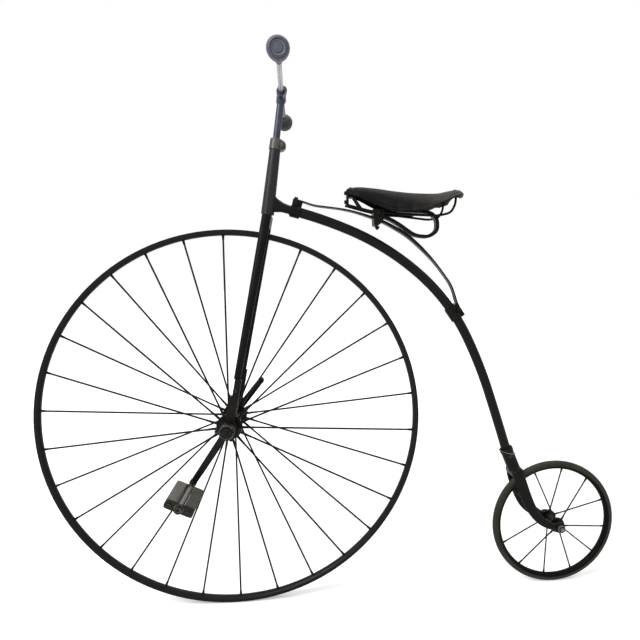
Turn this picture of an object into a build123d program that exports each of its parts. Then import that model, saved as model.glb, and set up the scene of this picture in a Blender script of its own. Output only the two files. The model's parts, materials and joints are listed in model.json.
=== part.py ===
from build123d import *
import os
from math import atan2, cos, degrees, pi, radians, sin, tan

# A boy's high-wheel bicycle (penny farthing).  Millimetres.
# The model is laid out on the ground line: X runs from the front axle to the rear, Y to the
# rider's right, Z up from the ground.  At the end everything moves so that the origin is
# the middle of the seat, with the front of the machine towards -X.

# ---- front wheel
WHEEL_RADIUS = 457.0
TYRE_STANDS_OUT = 2.5
RIM_WIDTH = 23.0
RIM_DEPTH = 12.0
RIM_WALL = 2.2
TYRE_WIDTH = 20.0
SPOKES_PER_SIDE = 15
SPOKE_DIAMETER = 4.3
SPOKE_PHASE = 6.8
HUB_FLANGE_SPAN = 106.0
HUB_FLANGE_RADIUS = 30.0
HUB_FLANGE_THICKNESS = 6.0
HUB_BARREL_RADIUS = 17.0
AXLE_RADIUS = 8.0
AXLE_NUT_THICKNESS = 4.0
AXLE_NUT_RADIUS = 10.0

# ---- rear wheel
REAR_WHEEL_RADIUS = 160.0
REAR_TYRE_STANDS_OUT = 13.0
REAR_RIM_WIDTH = 19.0
REAR_RIM_DEPTH = 7.5
REAR_RIM_WALL = 2.0
REAR_TYRE_WIDTH = 17.0
REAR_SPOKES_PER_SIDE = 6
REAR_SPOKE_DIAMETER = 3.4
REAR_SPOKE_PHASE = 21.0
REAR_SPOKE_LOST = 2        # counted from the phase, in the left set
REAR_FLANGE_SPAN = 46.0
REAR_FLANGE_RADIUS = 19.0
REAR_FLANGE_THICKNESS = 4.0
REAR_BARREL_RADIUS = 12.0
REAR_AXLE_RADIUS = 5.0

# ---- front fork
FORK_RAKE = 11.47          # degrees from upright, blades
TYRE_GAP = 10.0            # between the front tyre and the crown over it
CROWN_HEIGHT = 30.0
FORK_LENGTH = WHEEL_RADIUS + TYRE_GAP + CROWN_HEIGHT / 2
CROWN_DEPTH = 22.0
BLADE_TOP_SPREAD = 34.0    # middle of a blade from the centre plane, at the crown
BLADE_TOP_SIZE = (22.0, 15.0)
BLADE_END_SIZE = (15.0, 12.0)
FORK_END_HEIGHT = 116.0    # top of the bearing bracket above the axle
FORK_END_WIDTH = 21.0
FORK_END_THICKNESS = 14.0
FORK_FOOT_WIDTH = 23.0
FORK_END_SHOULDER = 76.0   # where its front edge steps out, above the axle
FORK_END_STEP = 6.5
BEARING_RADIUS = 20.0
RUNNING_FIT = 0.05
SIDE_CLEARANCE = 6.0       # between neighbours along an axle that turn apart

# ---- cranks and pedal
CRANK_LENGTH = 140.0       # axle to pedal pin
SHORT_CRANK_LENGTH = 103.0
CRANK_ANGLE = 235.2        # degrees from +X towards +Z, left crank
SHORT_CRANK_ANGLE = 50.7   # right crank, knocked a little out of line
CRANK_THICKNESS = 14.0
CRANK_BOSS_RADIUS = 18.0
CRANK_BOSS_STANDS_OUT = 8.0
CRANK_ROOT_WIDTH = 17.0
CRANK_END_WIDTH = 14.0
CRANK_EYE_RADIUS = 8.2
SHORT_CRANK_EYE_RADIUS = 7.8
CRANK_EYE_BORE = 5.5       # radius
PEDAL_PIN_RADIUS = 4.5
PEDAL_BARREL_RADIUS = 7.0
PEDAL_LEAN = 9.0           # degrees, the bent pin's outer end away from the axle
PEDAL_LENGTH = 73.0        # between the end plates
PEDAL_PLATE_LENGTH = 64.0
PEDAL_PLATE_HEIGHT = 20.0
PEDAL_PLATE_THICKNESS = 3.5
PEDAL_BLOCK_WIDTH = 23.4
PEDAL_BLOCK_HEIGHT = 24.0
PEDAL_BLOCK_SPREAD = 19.6
PEDAL_BLOCK_CORNER = 3.0
PEDAL_PLATE_CORNER = 8.0
PEDAL_TILT = 25.0
PEDAL_GAP = 24.0
PEDAL_PLAY = 0.3           # between the outer end plate and its nut
PEDAL_NUT_RADIUS = 9.0
PEDAL_NUT_THICKNESS = 6.0

# ---- steering head
HEAD_RAKE = 8.33           # degrees from upright, steering axis
HEAD_TUBE_START = 19.0     # above the middle of the crown, along the axis
HEAD_TUBE_LENGTH = 174.0
HEAD_TUBE_RADIUS = 15.4    # at its foot
HEAD_TUBE_TOP_RADIUS = 12.4
HEAD_TUBE_WALL = 2.6
HEAD_SEAT_RADIUS = 10.5    # shoulder on the crown that carries the tube
HEAD_BUSH_LENGTH = 16.0
POST_RADIUS = 8.4
HANDLEBAR_HEIGHT = 292.0   # above the middle of the crown, along the axis
LUG_RADIUS = 12.0
LUG_HEIGHT = 34.0
LUG_BARREL_RADIUS = 10.5
LUG_BARREL_HALF_LENGTH = 34.0
HANDLEBAR_RADIUS = 5.5
HANDLEBAR_HALF_WIDTH = 256.0
HANDLEBAR_RISE = 10.0      # of the ends above the middle
GRIP_LENGTH = 76.0
GRIP_RADIUS = 22.5
GRIP_NECK_RADIUS = 6.8
CLIP_HEIGHT = 24.0
CLIP_WALL = 1.2
CLIP_LOBE_RADIUS = 12.0
CLIP_LOBE_THICKNESS = 18.0
CLIP_LOBE_DOWN = 14.0      # its middle below the top of the head tube

# ---- neck and backbone
NECK_UP = 36.4             # its rear end above the middle of the crown
NECK_REACH = 50.6          # and behind the steering axis
NECK_RISE = 9.0            # of its front end over the rear one
BACKBONE_RADIUS = 11.7
BACKBONE_SLOPE = -14.7     # degrees, at the neck
# length, turn in degrees
BACKBONE_BENDS = [(148.0, -8.4), (203.0, -18.5), (199.0, -22.8), (150.0, -7.6)]
BACKBONE_LAST_BEND = -1.3

# ---- rear fork
SOCKET_OVERLAP = 14.0      # of the backbone's end inside the socket
SOCKET_CANT = 5.4          # degrees, the socket leans back from the backbone's line
SOCKET_RADIUS = 15.8
SOCKET_LENGTH = 60.0
SOCKET_END_UP = 145.28      # from the rear axle
COLLAR_RADIUS = 17.0
COLLAR_LENGTH = 11.0
REAR_CROWN_HEIGHT = 21.0
REAR_CROWN_DEPTH = 31.0
REAR_CROWN_ROUNDING = 8.5
REAR_CROWN_DROP = 6.0      # its middle below the socket's end
REAR_TYRE_GAP = 6.0        # between the tyre and the crown over it
LEG_THICKNESS = 12.0
LEG_SPREAD = 38.0          # middle of a leg from the centre plane, at the axle
LEG_TOP_SPREAD = 22.0
LEG_EYE_RADIUS = 14.0
LEG_EYE_THICKNESS = 9.0
REAR_AXLE_BACK = 105.6     # rear axle behind the lower end of the socket
REAR_NUT_RADIUS = 9.0
REAR_NUT_THICKNESS = 8.0
REAR_AXLE_TIP = 4.0        # of the axle beyond its nut
CONE_PLAY = 0.3            # between a cone and the hub

# ---- saddle and its springs
SPRING_CLAMP_START = 2.0   # along the backbone
SPRING_CLAMP_LENGTH = 23.0
SPRING_CLAMP_WALL = 3.6
SPRING_CLAMP_HEIGHT = 24.5 # seat of the leaf above the middle of the backbone
SPRING_CLAMP_THICKNESS = 20.0
SPRING_WIDTH = 20.0
SPRING_FRONT_THICKNESS = 3.0
SPRING_TAIL_THICKNESS = 3.5
SPRING_TAIL_LENGTH = 30.0  # flat on its lug
TAIL_LUG_HEIGHT = 17.0     # of the leaf's seat above the middle of the backbone
REAR_CLIP_DISTANCE = 462.0 # along the backbone
REAR_CLIP_LENGTH = 34.0
REAR_CLIP_WALL = 3.0
SADDLE_CLAMP_WIDTH = 38.0
RAIL_DIAMETER = 5.5
C_SPRING_WIDTH = 20.0
C_SPRING_THICKNESS = 8.0
LEATHER_THICKNESS = 4.5
BRIDGE_BACK = 84.0         # cross plate under the leather, from the clamp
BRIDGE_UP = 20.0
BRIDGE_LENGTH = 22.0
BRIDGE_THICKNESS = 4.0
NOSE_PLATE_WIDTH = 26.0
NOSE_PLATE_THICKNESS = 4.5
NOSE_PLATE_LOW = 27.0      # its lower edge above the clamp
NOSE_BOLT_HEIGHTS = (57.0, 36.0)
NOSE_BOLT_RADIUS = 4.5
NOSE_BOLT_LENGTH = 5.0
TONGUE_LENGTH = 16.0       # under the leather's front end
TONGUE_WIDTH = 22.0
TONGUE_THICKNESS = 3.5
TONGUE_UP = 46.8
NOSE_STRUT_RADIUS = 2.4
NOSE_STRUT_SPREAD = 9.0
NOSE_STRUT_FOOT = (-37.0, 13.3, 19.0)  # back, out, up from the clamp, on the rail


# ---- helpers


def ahead(point, heading, distance):
    """The point a distance along a heading (degrees) in the side view."""
    a = radians(heading)
    return (point[0] + distance * cos(a), point[1] + distance * sin(a))


def side(point, y=0.0):
    """A side-view point (x, z) as a 3-D point."""
    return (point[0], y, point[1])


def bend_end(start, heading, length, turn):
    """Where an arc of that length and turn ends, and its heading there."""
    half = radians(turn) / 2
    chord = length if abs(half) < 1e-9 else length * sin(half) / half
    return ahead(start, heading + turn / 2, chord), heading + turn


def along(start, heading, bends, distance):
    """The point and heading at a distance along a chain of tangent arcs."""
    for length, turn in bends:
        if distance <= length:
            return bend_end(start, heading, distance, turn * distance / length)
        start, heading = bend_end(start, heading, length, turn)
        distance -= length
    return ahead(start, heading, distance), heading


def chain(start, heading, bends):
    """Tangent arcs in the side view as one wire."""
    edges = []
    for length, turn in bends:
        middle, _ = bend_end(start, heading, length / 2, turn / 2)
        end, next_heading = bend_end(start, heading, length, turn)
        edges.append(ThreePointArc(side(start), side(middle), side(end)))
        start, heading = end, next_heading
    return Wire(edges)


def side_plane(point, heading, y=0.0):
    """A plane across a heading: its Z runs along the heading, its X towards -Y."""
    a = radians(heading)
    return Plane(origin=side(point, y), x_dir=(0, -1, 0), z_dir=(cos(a), 0, sin(a)))


def rod(start, end, radius, end_radius=None):
    """A round bar or a cone between two 3-D points."""
    start, end = Vector(*start), Vector(*end)
    length = (end - start).length
    middle = Plane(origin=(start + end) * 0.5, z_dir=end - start)
    if end_radius is None:
        return middle * Cylinder(radius, length)
    return middle * Cone(radius, end_radius, length)


def across(point, radius, low, high):
    """A round bar along Y at a side-view point, from y = low to y = high."""
    return rod(side(point, low), side(point, high), radius)


def plate(points, low, high, radius=None):
    """A side-view outline made solid from y = low to y = high."""
    corners = [side(p, low) for p in points]
    if radius is None:
        outline = Polyline(*corners, close=True)
    else:
        outline = FilletPolyline(*corners, radius=radius, close=True)
    face = Face(Wire(outline.edges()))
    return extrude(face, amount=high - low, dir=(0, 1, 0))


def bend_radii(points, share=0.42):
    """A large fillet for each inner corner of a polyline."""
    radii = []
    for before, corner, after in zip(points, points[1:], points[2:]):
        run_in = Vector(*corner) - Vector(*before)
        run_out = Vector(*after) - Vector(*corner)
        turn = radians(run_in.get_angle(run_out))
        radii.append(share * min(run_in.length, run_out.length) / tan(turn / 2))
    return radii


def bent_rod(points, radius):
    """A round wire along straight runs and tangent arcs."""
    path = Wire(FilletPolyline(*points, radius=bend_radii(points)).edges())
    start = Plane(origin=path @ 0, z_dir=path % 0)
    return sweep(start * Circle(radius), path=path)


def strip(points, thickness, low, high):
    """A bent strip in the side view: points with a thickness each, y from low to high."""
    upper, lower = [], []
    for i, (point, t) in enumerate(zip(points, thickness)):
        before = points[max(i - 1, 0)]
        after = points[min(i + 1, len(points) - 1)]
        run_in = atan2(point[1] - before[1], point[0] - before[0]) if i else None
        run_out = atan2(after[1] - point[1], after[0] - point[0]) if after != point else None
        run_in = run_out if run_in is None else run_in
        run_out = run_in if run_out is None else run_out
        normal = (run_in + run_out) / 2 + pi / 2
        reach = t / 2 / cos((run_out - run_in) / 2)
        upper.append((point[0] + reach * cos(normal), point[1] + reach * sin(normal)))
        lower.append((point[0] - reach * cos(normal), point[1] - reach * sin(normal)))
    edges = []
    for outline in (upper, lower):
        corners = [side(p, low) for p in outline]
        edges += FilletPolyline(*corners, radius=bend_radii(corners)).edges()
    edges.append(Line(side(upper[0], low), side(lower[0], low)))
    edges.append(Line(side(upper[-1], low), side(lower[-1], low)))
    face = Face(Wire(edges))
    return extrude(face, amount=high - low, dir=(0, 1, 0))


def spun(outline, centre):
    """A closed section in (radius, y) turned about the Y line through a side-view point."""
    face = Face(Wire(outline))
    return Pos(*side(centre)) * revolve(face, axis=Axis.Y)


def mirrored(shape):
    """The same piece on the other side of the centre plane."""
    return mirror(shape, about=Plane.XZ)


# ---- places that several pieces share

FRONT_AXLE = (0.0, WHEEL_RADIUS)
CROWN = (FORK_LENGTH * sin(radians(FORK_RAKE)),
         WHEEL_RADIUS + FORK_LENGTH * cos(radians(FORK_RAKE)))
FORK_HEADING = 90.0 - FORK_RAKE
HEAD_HEADING = 90.0 - HEAD_RAKE


def fork_point(up, back=0.0):
    """A side-view point up the blades from the front axle and back from their middle."""
    return ahead(ahead(FRONT_AXLE, FORK_HEADING, up), FORK_HEADING - 90, back)


def head_point(up, back=0.0):
    """A side-view point up the steering axis from the crown and back from the axis."""
    return ahead(ahead(CROWN, HEAD_HEADING, up), HEAD_HEADING - 90, back)


NECK_END = head_point(NECK_UP, NECK_REACH)


def last_run():
    """The length of the backbone's last run, which brings the socket's end over the rear wheel."""
    bent = sum(length for length, _ in BACKBONE_BENDS)
    start, heading = along(NECK_END, BACKBONE_SLOPE, BACKBONE_BENDS, bent)
    end_heading = heading + BACKBONE_LAST_BEND
    drop = start[1] - REAR_WHEEL_RADIUS - SOCKET_END_UP
    drop += SOCKET_LENGTH * sin(radians(end_heading + SOCKET_CANT))
    drop -= SOCKET_OVERLAP * sin(radians(end_heading))
    return -drop / sin(radians(heading + BACKBONE_LAST_BEND / 2))


BACKBONE_RUNS = BACKBONE_BENDS + [(last_run(), BACKBONE_LAST_BEND)]
BACKBONE_LENGTH = sum(length for length, _ in BACKBONE_RUNS)


def backbone_point(distance, out=0.0):
    """A side-view point along the backbone, and above its middle."""
    point, heading = along(NECK_END, BACKBONE_SLOPE, BACKBONE_RUNS, distance)
    return ahead(point, heading + 90, out)


def backbone_heading(distance):
    return along(NECK_END, BACKBONE_SLOPE, BACKBONE_RUNS, distance)[1]


SOCKET_TOP = backbone_point(BACKBONE_LENGTH - SOCKET_OVERLAP)
SOCKET_HEADING = backbone_heading(BACKBONE_LENGTH) + SOCKET_CANT
SOCKET_END = ahead(SOCKET_TOP, SOCKET_HEADING, SOCKET_LENGTH)
REAR_AXLE = (SOCKET_END[0] + REAR_AXLE_BACK, REAR_WHEEL_RADIUS)
REAR_AXLE_DOWN = SOCKET_END[1] - REAR_AXLE[1]


# ---- wheels


def rim_section(radius, stands_out, width, depth, wall):
    """The rim's crescent and the curve of its bed, as (radius, y) points."""
    lip = radius - stands_out
    crown = lip - depth
    bed = crown + wall
    half, inner_half = width / 2, width / 2 - wall / 2
    outside = ThreePointArc((lip, -half), (crown, 0), (lip, half))
    inside = ThreePointArc((lip, -inner_half), (bed, 0), (lip, inner_half))
    lips = [Line((lip, s * half), (lip, s * inner_half)) for s in (-1, 1)]
    return [outside, inside, *lips]


def rim(centre, radius, stands_out, width, depth, wall):
    return spun(rim_section(radius, stands_out, width, depth, wall), centre)


def tyre(centre, radius, stands_out, width, rim_width, depth, wall):
    """A solid tyre lying in the rim's bed."""
    lip = radius - stands_out
    bed = lip - depth + wall
    bed_half = rim_width / 2 - wall / 2
    swell = (radius - lip) * 0.35
    half = width / 2
    bottom = ThreePointArc((lip, -bed_half), (bed, 0), (lip, bed_half))
    flanks = [Line((lip, s * bed_half), (lip + swell, s * half)) for s in (-1, 1)]
    tread = ThreePointArc((lip + swell, -half), (radius, 0), (lip + swell, half))
    return spun([bottom, *flanks, tread], centre)


def spoke_set(centre, count, phase, side_sign, flange_y, flange_radius, rim_radius, diameter,
              lost=None):
    """Straight spokes from one hub flange to the middle of the rim, without a lost one."""
    spokes = []
    for i in range(count):
        if i == lost:
            continue
        angle = phase + i * 360.0 / count
        foot = ahead(centre, angle, flange_radius - diameter)
        tip = ahead(centre, angle, rim_radius + RIM_WALL / 2)
        spokes.append(rod(side(foot, side_sign * flange_y), side(tip, 0), diameter / 2))
    return Compound(spokes)


def hub(centre, span, flange_radius, flange_thickness, barrel_radius, bore_radius):
    """A barrel with a flange near each end, bored for its axle."""
    half = span / 2 + flange_thickness / 2
    body = across(centre, barrel_radius, -half, half)
    for s in (-1, 1):
        middle = s * span / 2
        edge = flange_thickness / 2
        body += across(centre, flange_radius, middle - edge, middle + edge)
    return body - across(centre, bore_radius, -half - 1, half + 1)


RIM_CROWN = WHEEL_RADIUS - TYRE_STANDS_OUT - RIM_DEPTH
REAR_RIM_CROWN = REAR_WHEEL_RADIUS - REAR_TYRE_STANDS_OUT - REAR_RIM_DEPTH
HALF_HUB = HUB_FLANGE_SPAN / 2 + HUB_FLANGE_THICKNESS / 2
FORK_END_Y = HALF_HUB + SIDE_CLEARANCE + FORK_END_THICKNESS / 2
CRANK_Y = FORK_END_Y + FORK_END_THICKNESS / 2 + SIDE_CLEARANCE + CRANK_THICKNESS / 2
CRANK_FACE_Y = CRANK_Y + CRANK_THICKNESS / 2

FRONT_RIM = (FRONT_AXLE, WHEEL_RADIUS, TYRE_STANDS_OUT, RIM_WIDTH, RIM_DEPTH, RIM_WALL)
REAR_RIM = (REAR_AXLE, REAR_WHEEL_RADIUS, REAR_TYRE_STANDS_OUT, REAR_RIM_WIDTH,
            REAR_RIM_DEPTH, REAR_RIM_WALL)


def front_wheel():
    parts = {
        "front_rim": rim(*FRONT_RIM),
        "front_tyre": tyre(FRONT_AXLE, WHEEL_RADIUS, TYRE_STANDS_OUT, TYRE_WIDTH, RIM_WIDTH,
                           RIM_DEPTH, RIM_WALL),
        "front_hub": hub(FRONT_AXLE, HUB_FLANGE_SPAN, HUB_FLANGE_RADIUS,
                         HUB_FLANGE_THICKNESS, HUB_BARREL_RADIUS, AXLE_RADIUS),
    }
    step = 360.0 / SPOKES_PER_SIDE
    for name, sign, phase in (("right", 1, SPOKE_PHASE), ("left", -1, SPOKE_PHASE + step / 2)):
        spokes = spoke_set(FRONT_AXLE, SPOKES_PER_SIDE, phase, sign, HUB_FLANGE_SPAN / 2,
                           HUB_FLANGE_RADIUS, RIM_CROWN, SPOKE_DIAMETER)
        parts["front_spokes_" + name] = spokes - parts["front_hub"] - parts["front_rim"]
    boss_face = CRANK_FACE_Y + CRANK_BOSS_STANDS_OUT
    nut = across(FRONT_AXLE, AXLE_NUT_RADIUS, boss_face, boss_face + AXLE_NUT_THICKNESS)
    axle = across(FRONT_AXLE, AXLE_RADIUS, -boss_face, boss_face)
    parts["front_axle"] = axle + nut + mirrored(nut)
    return parts


def rear_wheel():
    parts = {
        "rear_rim": rim(*REAR_RIM),
        "rear_tyre": tyre(REAR_AXLE, REAR_WHEEL_RADIUS, REAR_TYRE_STANDS_OUT, REAR_TYRE_WIDTH,
                          REAR_RIM_WIDTH, REAR_RIM_DEPTH, REAR_RIM_WALL),
        "rear_hub": hub(REAR_AXLE, REAR_FLANGE_SPAN, REAR_FLANGE_RADIUS,
                        REAR_FLANGE_THICKNESS, REAR_BARREL_RADIUS,
                        REAR_AXLE_RADIUS + RUNNING_FIT),
    }
    step = 360.0 / REAR_SPOKES_PER_SIDE
    for name, sign, phase, lost in (("right", 1, REAR_SPOKE_PHASE, None),
                                    ("left", -1, REAR_SPOKE_PHASE + step / 2, REAR_SPOKE_LOST)):
        spokes = spoke_set(REAR_AXLE, REAR_SPOKES_PER_SIDE, phase, sign, REAR_FLANGE_SPAN / 2,
                           REAR_FLANGE_RADIUS, REAR_RIM_CROWN, REAR_SPOKE_DIAMETER, lost)
        parts["rear_spokes_" + name] = spokes - parts["rear_hub"] - parts["rear_rim"]
    return parts


# ---- cranks and pedal

PEDAL_CENTRE = ahead(FRONT_AXLE, CRANK_ANGLE, CRANK_LENGTH)
PEDAL_INNER_Y = CRANK_FACE_Y + PEDAL_GAP + PEDAL_PLATE_THICKNESS
PEDAL_OUTER_Y = PEDAL_INNER_Y + PEDAL_LENGTH


def crank(angle, length, eye_radius):
    """A boss on the axle, a tapering arm and an eye for the pedal pin, on the left side."""
    low, high = -CRANK_FACE_Y, CRANK_THICKNESS - CRANK_FACE_Y
    boss_low = low - CRANK_BOSS_STANDS_OUT
    eye = ahead(FRONT_AXLE, angle, length)
    root, end = CRANK_ROOT_WIDTH / 2, CRANK_END_WIDTH / 2
    outline = [ahead(FRONT_AXLE, angle + 90, root), ahead(FRONT_AXLE, angle - 90, root),
               ahead(eye, angle - 90, end), ahead(eye, angle + 90, end)]
    body = plate(outline, low, high)
    body += across(FRONT_AXLE, CRANK_BOSS_RADIUS, boss_low, high)
    body += across(eye, eye_radius, low, high)
    body -= across(FRONT_AXLE, AXLE_RADIUS, boss_low - 1, high + 1)
    return body - across(eye, CRANK_EYE_BORE, low - 1, high + 1)


def left_crank():
    return crank(CRANK_ANGLE, CRANK_LENGTH, CRANK_EYE_RADIUS)


PEDAL_BEND = side(PEDAL_CENTRE, -CRANK_FACE_Y)
PEDAL_SWING = Axis(PEDAL_BEND, (-sin(radians(CRANK_ANGLE)), 0, cos(radians(CRANK_ANGLE))))


def leaned(shape):
    """A piece of the pedal, turned with the bent pin."""
    return shape.rotate(PEDAL_SWING, PEDAL_LEAN)


def pedal_pin():
    """The pin in the left crank's eye, bent outside it, and the nut that keeps the pedal on."""
    outer = -PEDAL_OUTER_Y - PEDAL_PLATE_THICKNESS
    tip = outer - PEDAL_PLAY - PEDAL_NUT_THICKNESS
    straight = across(PEDAL_CENTRE, PEDAL_PIN_RADIUS, tip, -CRANK_FACE_Y)
    nut = across(PEDAL_CENTRE, PEDAL_NUT_RADIUS, tip, outer - PEDAL_PLAY)
    root = across(PEDAL_CENTRE, CRANK_EYE_BORE, -CRANK_FACE_Y, CRANK_THICKNESS - CRANK_FACE_Y)
    shoulder = Pos(*PEDAL_BEND) * Sphere(CRANK_EYE_BORE) - left_crank()
    return leaned(straight + nut) + root + shoulder - left_crank()


def block_outline(centre, heading, length, height):
    """The corners of a rectangle in the side view that lies along a heading."""
    outline = []
    for along_it, up in ((-1, -1), (1, -1), (1, 1), (-1, 1)):
        corner = ahead(centre, heading, along_it * length / 2)
        outline.append(ahead(corner, heading + 90, up * height / 2))
    return outline


def pedal():
    """End plates on a barrel, and two rubber blocks between the plates."""
    heading = -PEDAL_TILT
    parts = {}
    bore = PEDAL_PIN_RADIUS + RUNNING_FIT
    frame = across(PEDAL_CENTRE, PEDAL_BARREL_RADIUS, -PEDAL_OUTER_Y, -PEDAL_INNER_Y)
    outline = block_outline(PEDAL_CENTRE, heading, PEDAL_PLATE_LENGTH, PEDAL_PLATE_HEIGHT)
    for low in (-PEDAL_OUTER_Y - PEDAL_PLATE_THICKNESS, -PEDAL_INNER_Y):
        frame += plate(outline, low, low + PEDAL_PLATE_THICKNESS, PEDAL_PLATE_CORNER)
    low, high = -PEDAL_OUTER_Y - PEDAL_PLATE_THICKNESS, -PEDAL_INNER_Y + PEDAL_PLATE_THICKNESS
    parts["pedal_frame"] = leaned(frame - across(PEDAL_CENTRE, bore, low - 1, high + 1))
    for name, sign in (("front", -1), ("rear", 1)):
        middle = ahead(PEDAL_CENTRE, heading, sign * PEDAL_BLOCK_SPREAD)
        outline = block_outline(middle, heading, PEDAL_BLOCK_WIDTH, PEDAL_BLOCK_HEIGHT)
        block = plate(outline, -PEDAL_OUTER_Y, -PEDAL_INNER_Y, PEDAL_BLOCK_CORNER)
        parts["pedal_block_" + name] = leaned(block)
    return parts


# ---- front fork and steering


def fork_blade():
    """The left blade: an ellipse that tapers from the crown to the bearing bracket."""
    top = fork_point(FORK_LENGTH - CROWN_HEIGHT / 2)
    end = fork_point(FORK_END_HEIGHT)
    sections = []
    for point, spread, (depth, width) in ((end, FORK_END_Y, BLADE_END_SIZE),
                                          (top, BLADE_TOP_SPREAD, BLADE_TOP_SIZE)):
        section_plane = side_plane(point, FORK_HEADING, -spread)
        sections.append(section_plane * Ellipse(width / 2, depth / 2))
    return loft(sections, ruled=True)


def fork_end():
    """The left bearing bracket: a plate under the blade with a ring about the axle."""
    low = -FORK_END_Y - FORK_END_THICKNESS / 2
    high = low + FORK_END_THICKNESS
    half = FORK_END_WIDTH / 2
    outline = [fork_point(FORK_END_HEIGHT, FORK_END_STEP - half),
               fork_point(FORK_END_HEIGHT, half), fork_point(0, FORK_FOOT_WIDTH / 2),
               fork_point(0, -FORK_FOOT_WIDTH / 2), fork_point(FORK_END_SHOULDER, -half),
               fork_point(FORK_END_SHOULDER, FORK_END_STEP - half)]
    body = plate(outline, low, high) + across(FRONT_AXLE, BEARING_RADIUS, low, high)
    return body - across(FRONT_AXLE, AXLE_RADIUS + RUNNING_FIT, low - 1, high + 1)


def fork_crown():
    """The bridge over the tyre that holds both blades and the steering post."""
    half = BLADE_TOP_SPREAD + BLADE_TOP_SIZE[1] / 2 + 1.0
    depth = CROWN_DEPTH
    bar = Box(2 * half, depth, CROWN_HEIGHT)
    bar = fillet(bar.edges().filter_by(Axis.Z), depth * 0.45)
    crown = side_plane(CROWN, FORK_HEADING) * bar
    post_room = rod(side(CROWN), side(head_point(HANDLEBAR_HEIGHT)), POST_RADIUS)
    seat = rod(side(CROWN), side(head_point(HEAD_TUBE_START - 0.3)), HEAD_SEAT_RADIUS)
    return crown + seat - post_room


def steering_post():
    """The post that turns in the head tube, from the crown to the handlebar lug."""
    top = HANDLEBAR_HEIGHT - LUG_HEIGHT / 2
    return rod(side(CROWN), side(head_point(top)), POST_RADIUS)


def bar_point(y):
    """The middle of the handlebar at a distance from the centre plane."""
    rise = HANDLEBAR_RISE * abs(y) / HANDLEBAR_HALF_WIDTH
    return side(head_point(HANDLEBAR_HEIGHT + rise), y)


def handlebar():
    inner_end = HANDLEBAR_HALF_WIDTH - 6.0
    half = rod(bar_point(0), bar_point(inner_end), HANDLEBAR_RADIUS)
    joint = Pos(*bar_point(0)) * Sphere(HANDLEBAR_RADIUS)
    return half + mirrored(half) + joint


def handlebar_lug():
    """The cast lug on top of the post that the handlebar passes through."""
    low = head_point(HANDLEBAR_HEIGHT - LUG_HEIGHT / 2)
    high = head_point(HANDLEBAR_HEIGHT + LUG_HEIGHT / 2)
    body = rod(side(low), side(high), LUG_RADIUS * 0.85, LUG_RADIUS)
    body += across(head_point(HANDLEBAR_HEIGHT), LUG_BARREL_RADIUS, -LUG_BARREL_HALF_LENGTH,
                   LUG_BARREL_HALF_LENGTH)
    return body - handlebar()


def grip():
    """The left grip: pear-shaped, widest near its outer end, bored for the bar."""
    start = Vector(*bar_point(-(HANDLEBAR_HALF_WIDTH - GRIP_LENGTH)))
    end = Vector(*bar_point(-HANDLEBAR_HALF_WIDTH))
    length = (end - start).length
    widest = length - GRIP_RADIUS * 0.75
    outline = [
        Line((0, 0), (GRIP_NECK_RADIUS, 0)),
        Spline((GRIP_NECK_RADIUS, 0), (GRIP_RADIUS * 0.62, widest * 0.45),
               (GRIP_RADIUS, widest), tangents=[(0.1, 1), (0, 1)]),
        ThreePointArc((GRIP_RADIUS, widest), (GRIP_RADIUS * 0.86, length - GRIP_RADIUS * 0.28),
                      (GRIP_RADIUS * 0.55, length)),
        Line((GRIP_RADIUS * 0.55, length), (0, length)),
        Line((0, length), (0, 0)),
    ]
    section = Face(Wire(outline))
    body = revolve(Plane.XZ * section, axis=Axis.Z)
    place = Plane(origin=start, z_dir=end - start)
    return place * body - handlebar()


# ---- head, neck and backbone


def head_cone():
    """The outside of the head tube."""
    low, high = HEAD_TUBE_START, HEAD_TUBE_START + HEAD_TUBE_LENGTH
    return rod(side(head_point(low)), side(head_point(high)), HEAD_TUBE_RADIUS,
               HEAD_TUBE_TOP_RADIUS)


def head_tube():
    """The socket that the post turns in, with a bush at each end of its bore."""
    low, high = HEAD_TUBE_START, HEAD_TUBE_START + HEAD_TUBE_LENGTH
    tube = head_cone()
    fit = POST_RADIUS + RUNNING_FIT
    tube -= rod(side(head_point(low - 1)), side(head_point(high + 1)), fit)
    cavity = (side(head_point(low + HEAD_BUSH_LENGTH)), side(head_point(high - HEAD_BUSH_LENGTH)))
    return tube - rod(*cavity, HEAD_TUBE_TOP_RADIUS - HEAD_TUBE_WALL)


# share of the way back, half height and half width as shares of the backbone's radius
NECK_SECTIONS = [(0.06, 2.18, 0.94), (0.36, 1.36, 0.90), (0.66, 0.96, 0.87), (1.0, 0.86, 0.86)]


def neck():
    """The forging from the head tube to the backbone, thickest at the head."""
    start = head_point(NECK_UP + NECK_RISE)
    faces = []
    for share, high, wide in NECK_SECTIONS:
        half_height, half_width = high * BACKBONE_RADIUS, wide * BACKBONE_RADIUS
        point = (start[0] + (NECK_END[0] - start[0]) * share,
                 start[1] + (NECK_END[1] - start[1]) * share)
        faces.append(side_plane(point, BACKBONE_SLOPE) * Ellipse(half_width, half_height))
    body = loft(faces, ruled=True)
    return body - head_cone() - rod(side(CROWN), side(head_point(HEAD_TUBE_LENGTH)), POST_RADIUS)


def backbone():
    path = chain(NECK_END, BACKBONE_SLOPE, BACKBONE_RUNS)
    section = side_plane(NECK_END, BACKBONE_SLOPE) * Circle(BACKBONE_RADIUS)
    return sweep(section, path=path)


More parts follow.
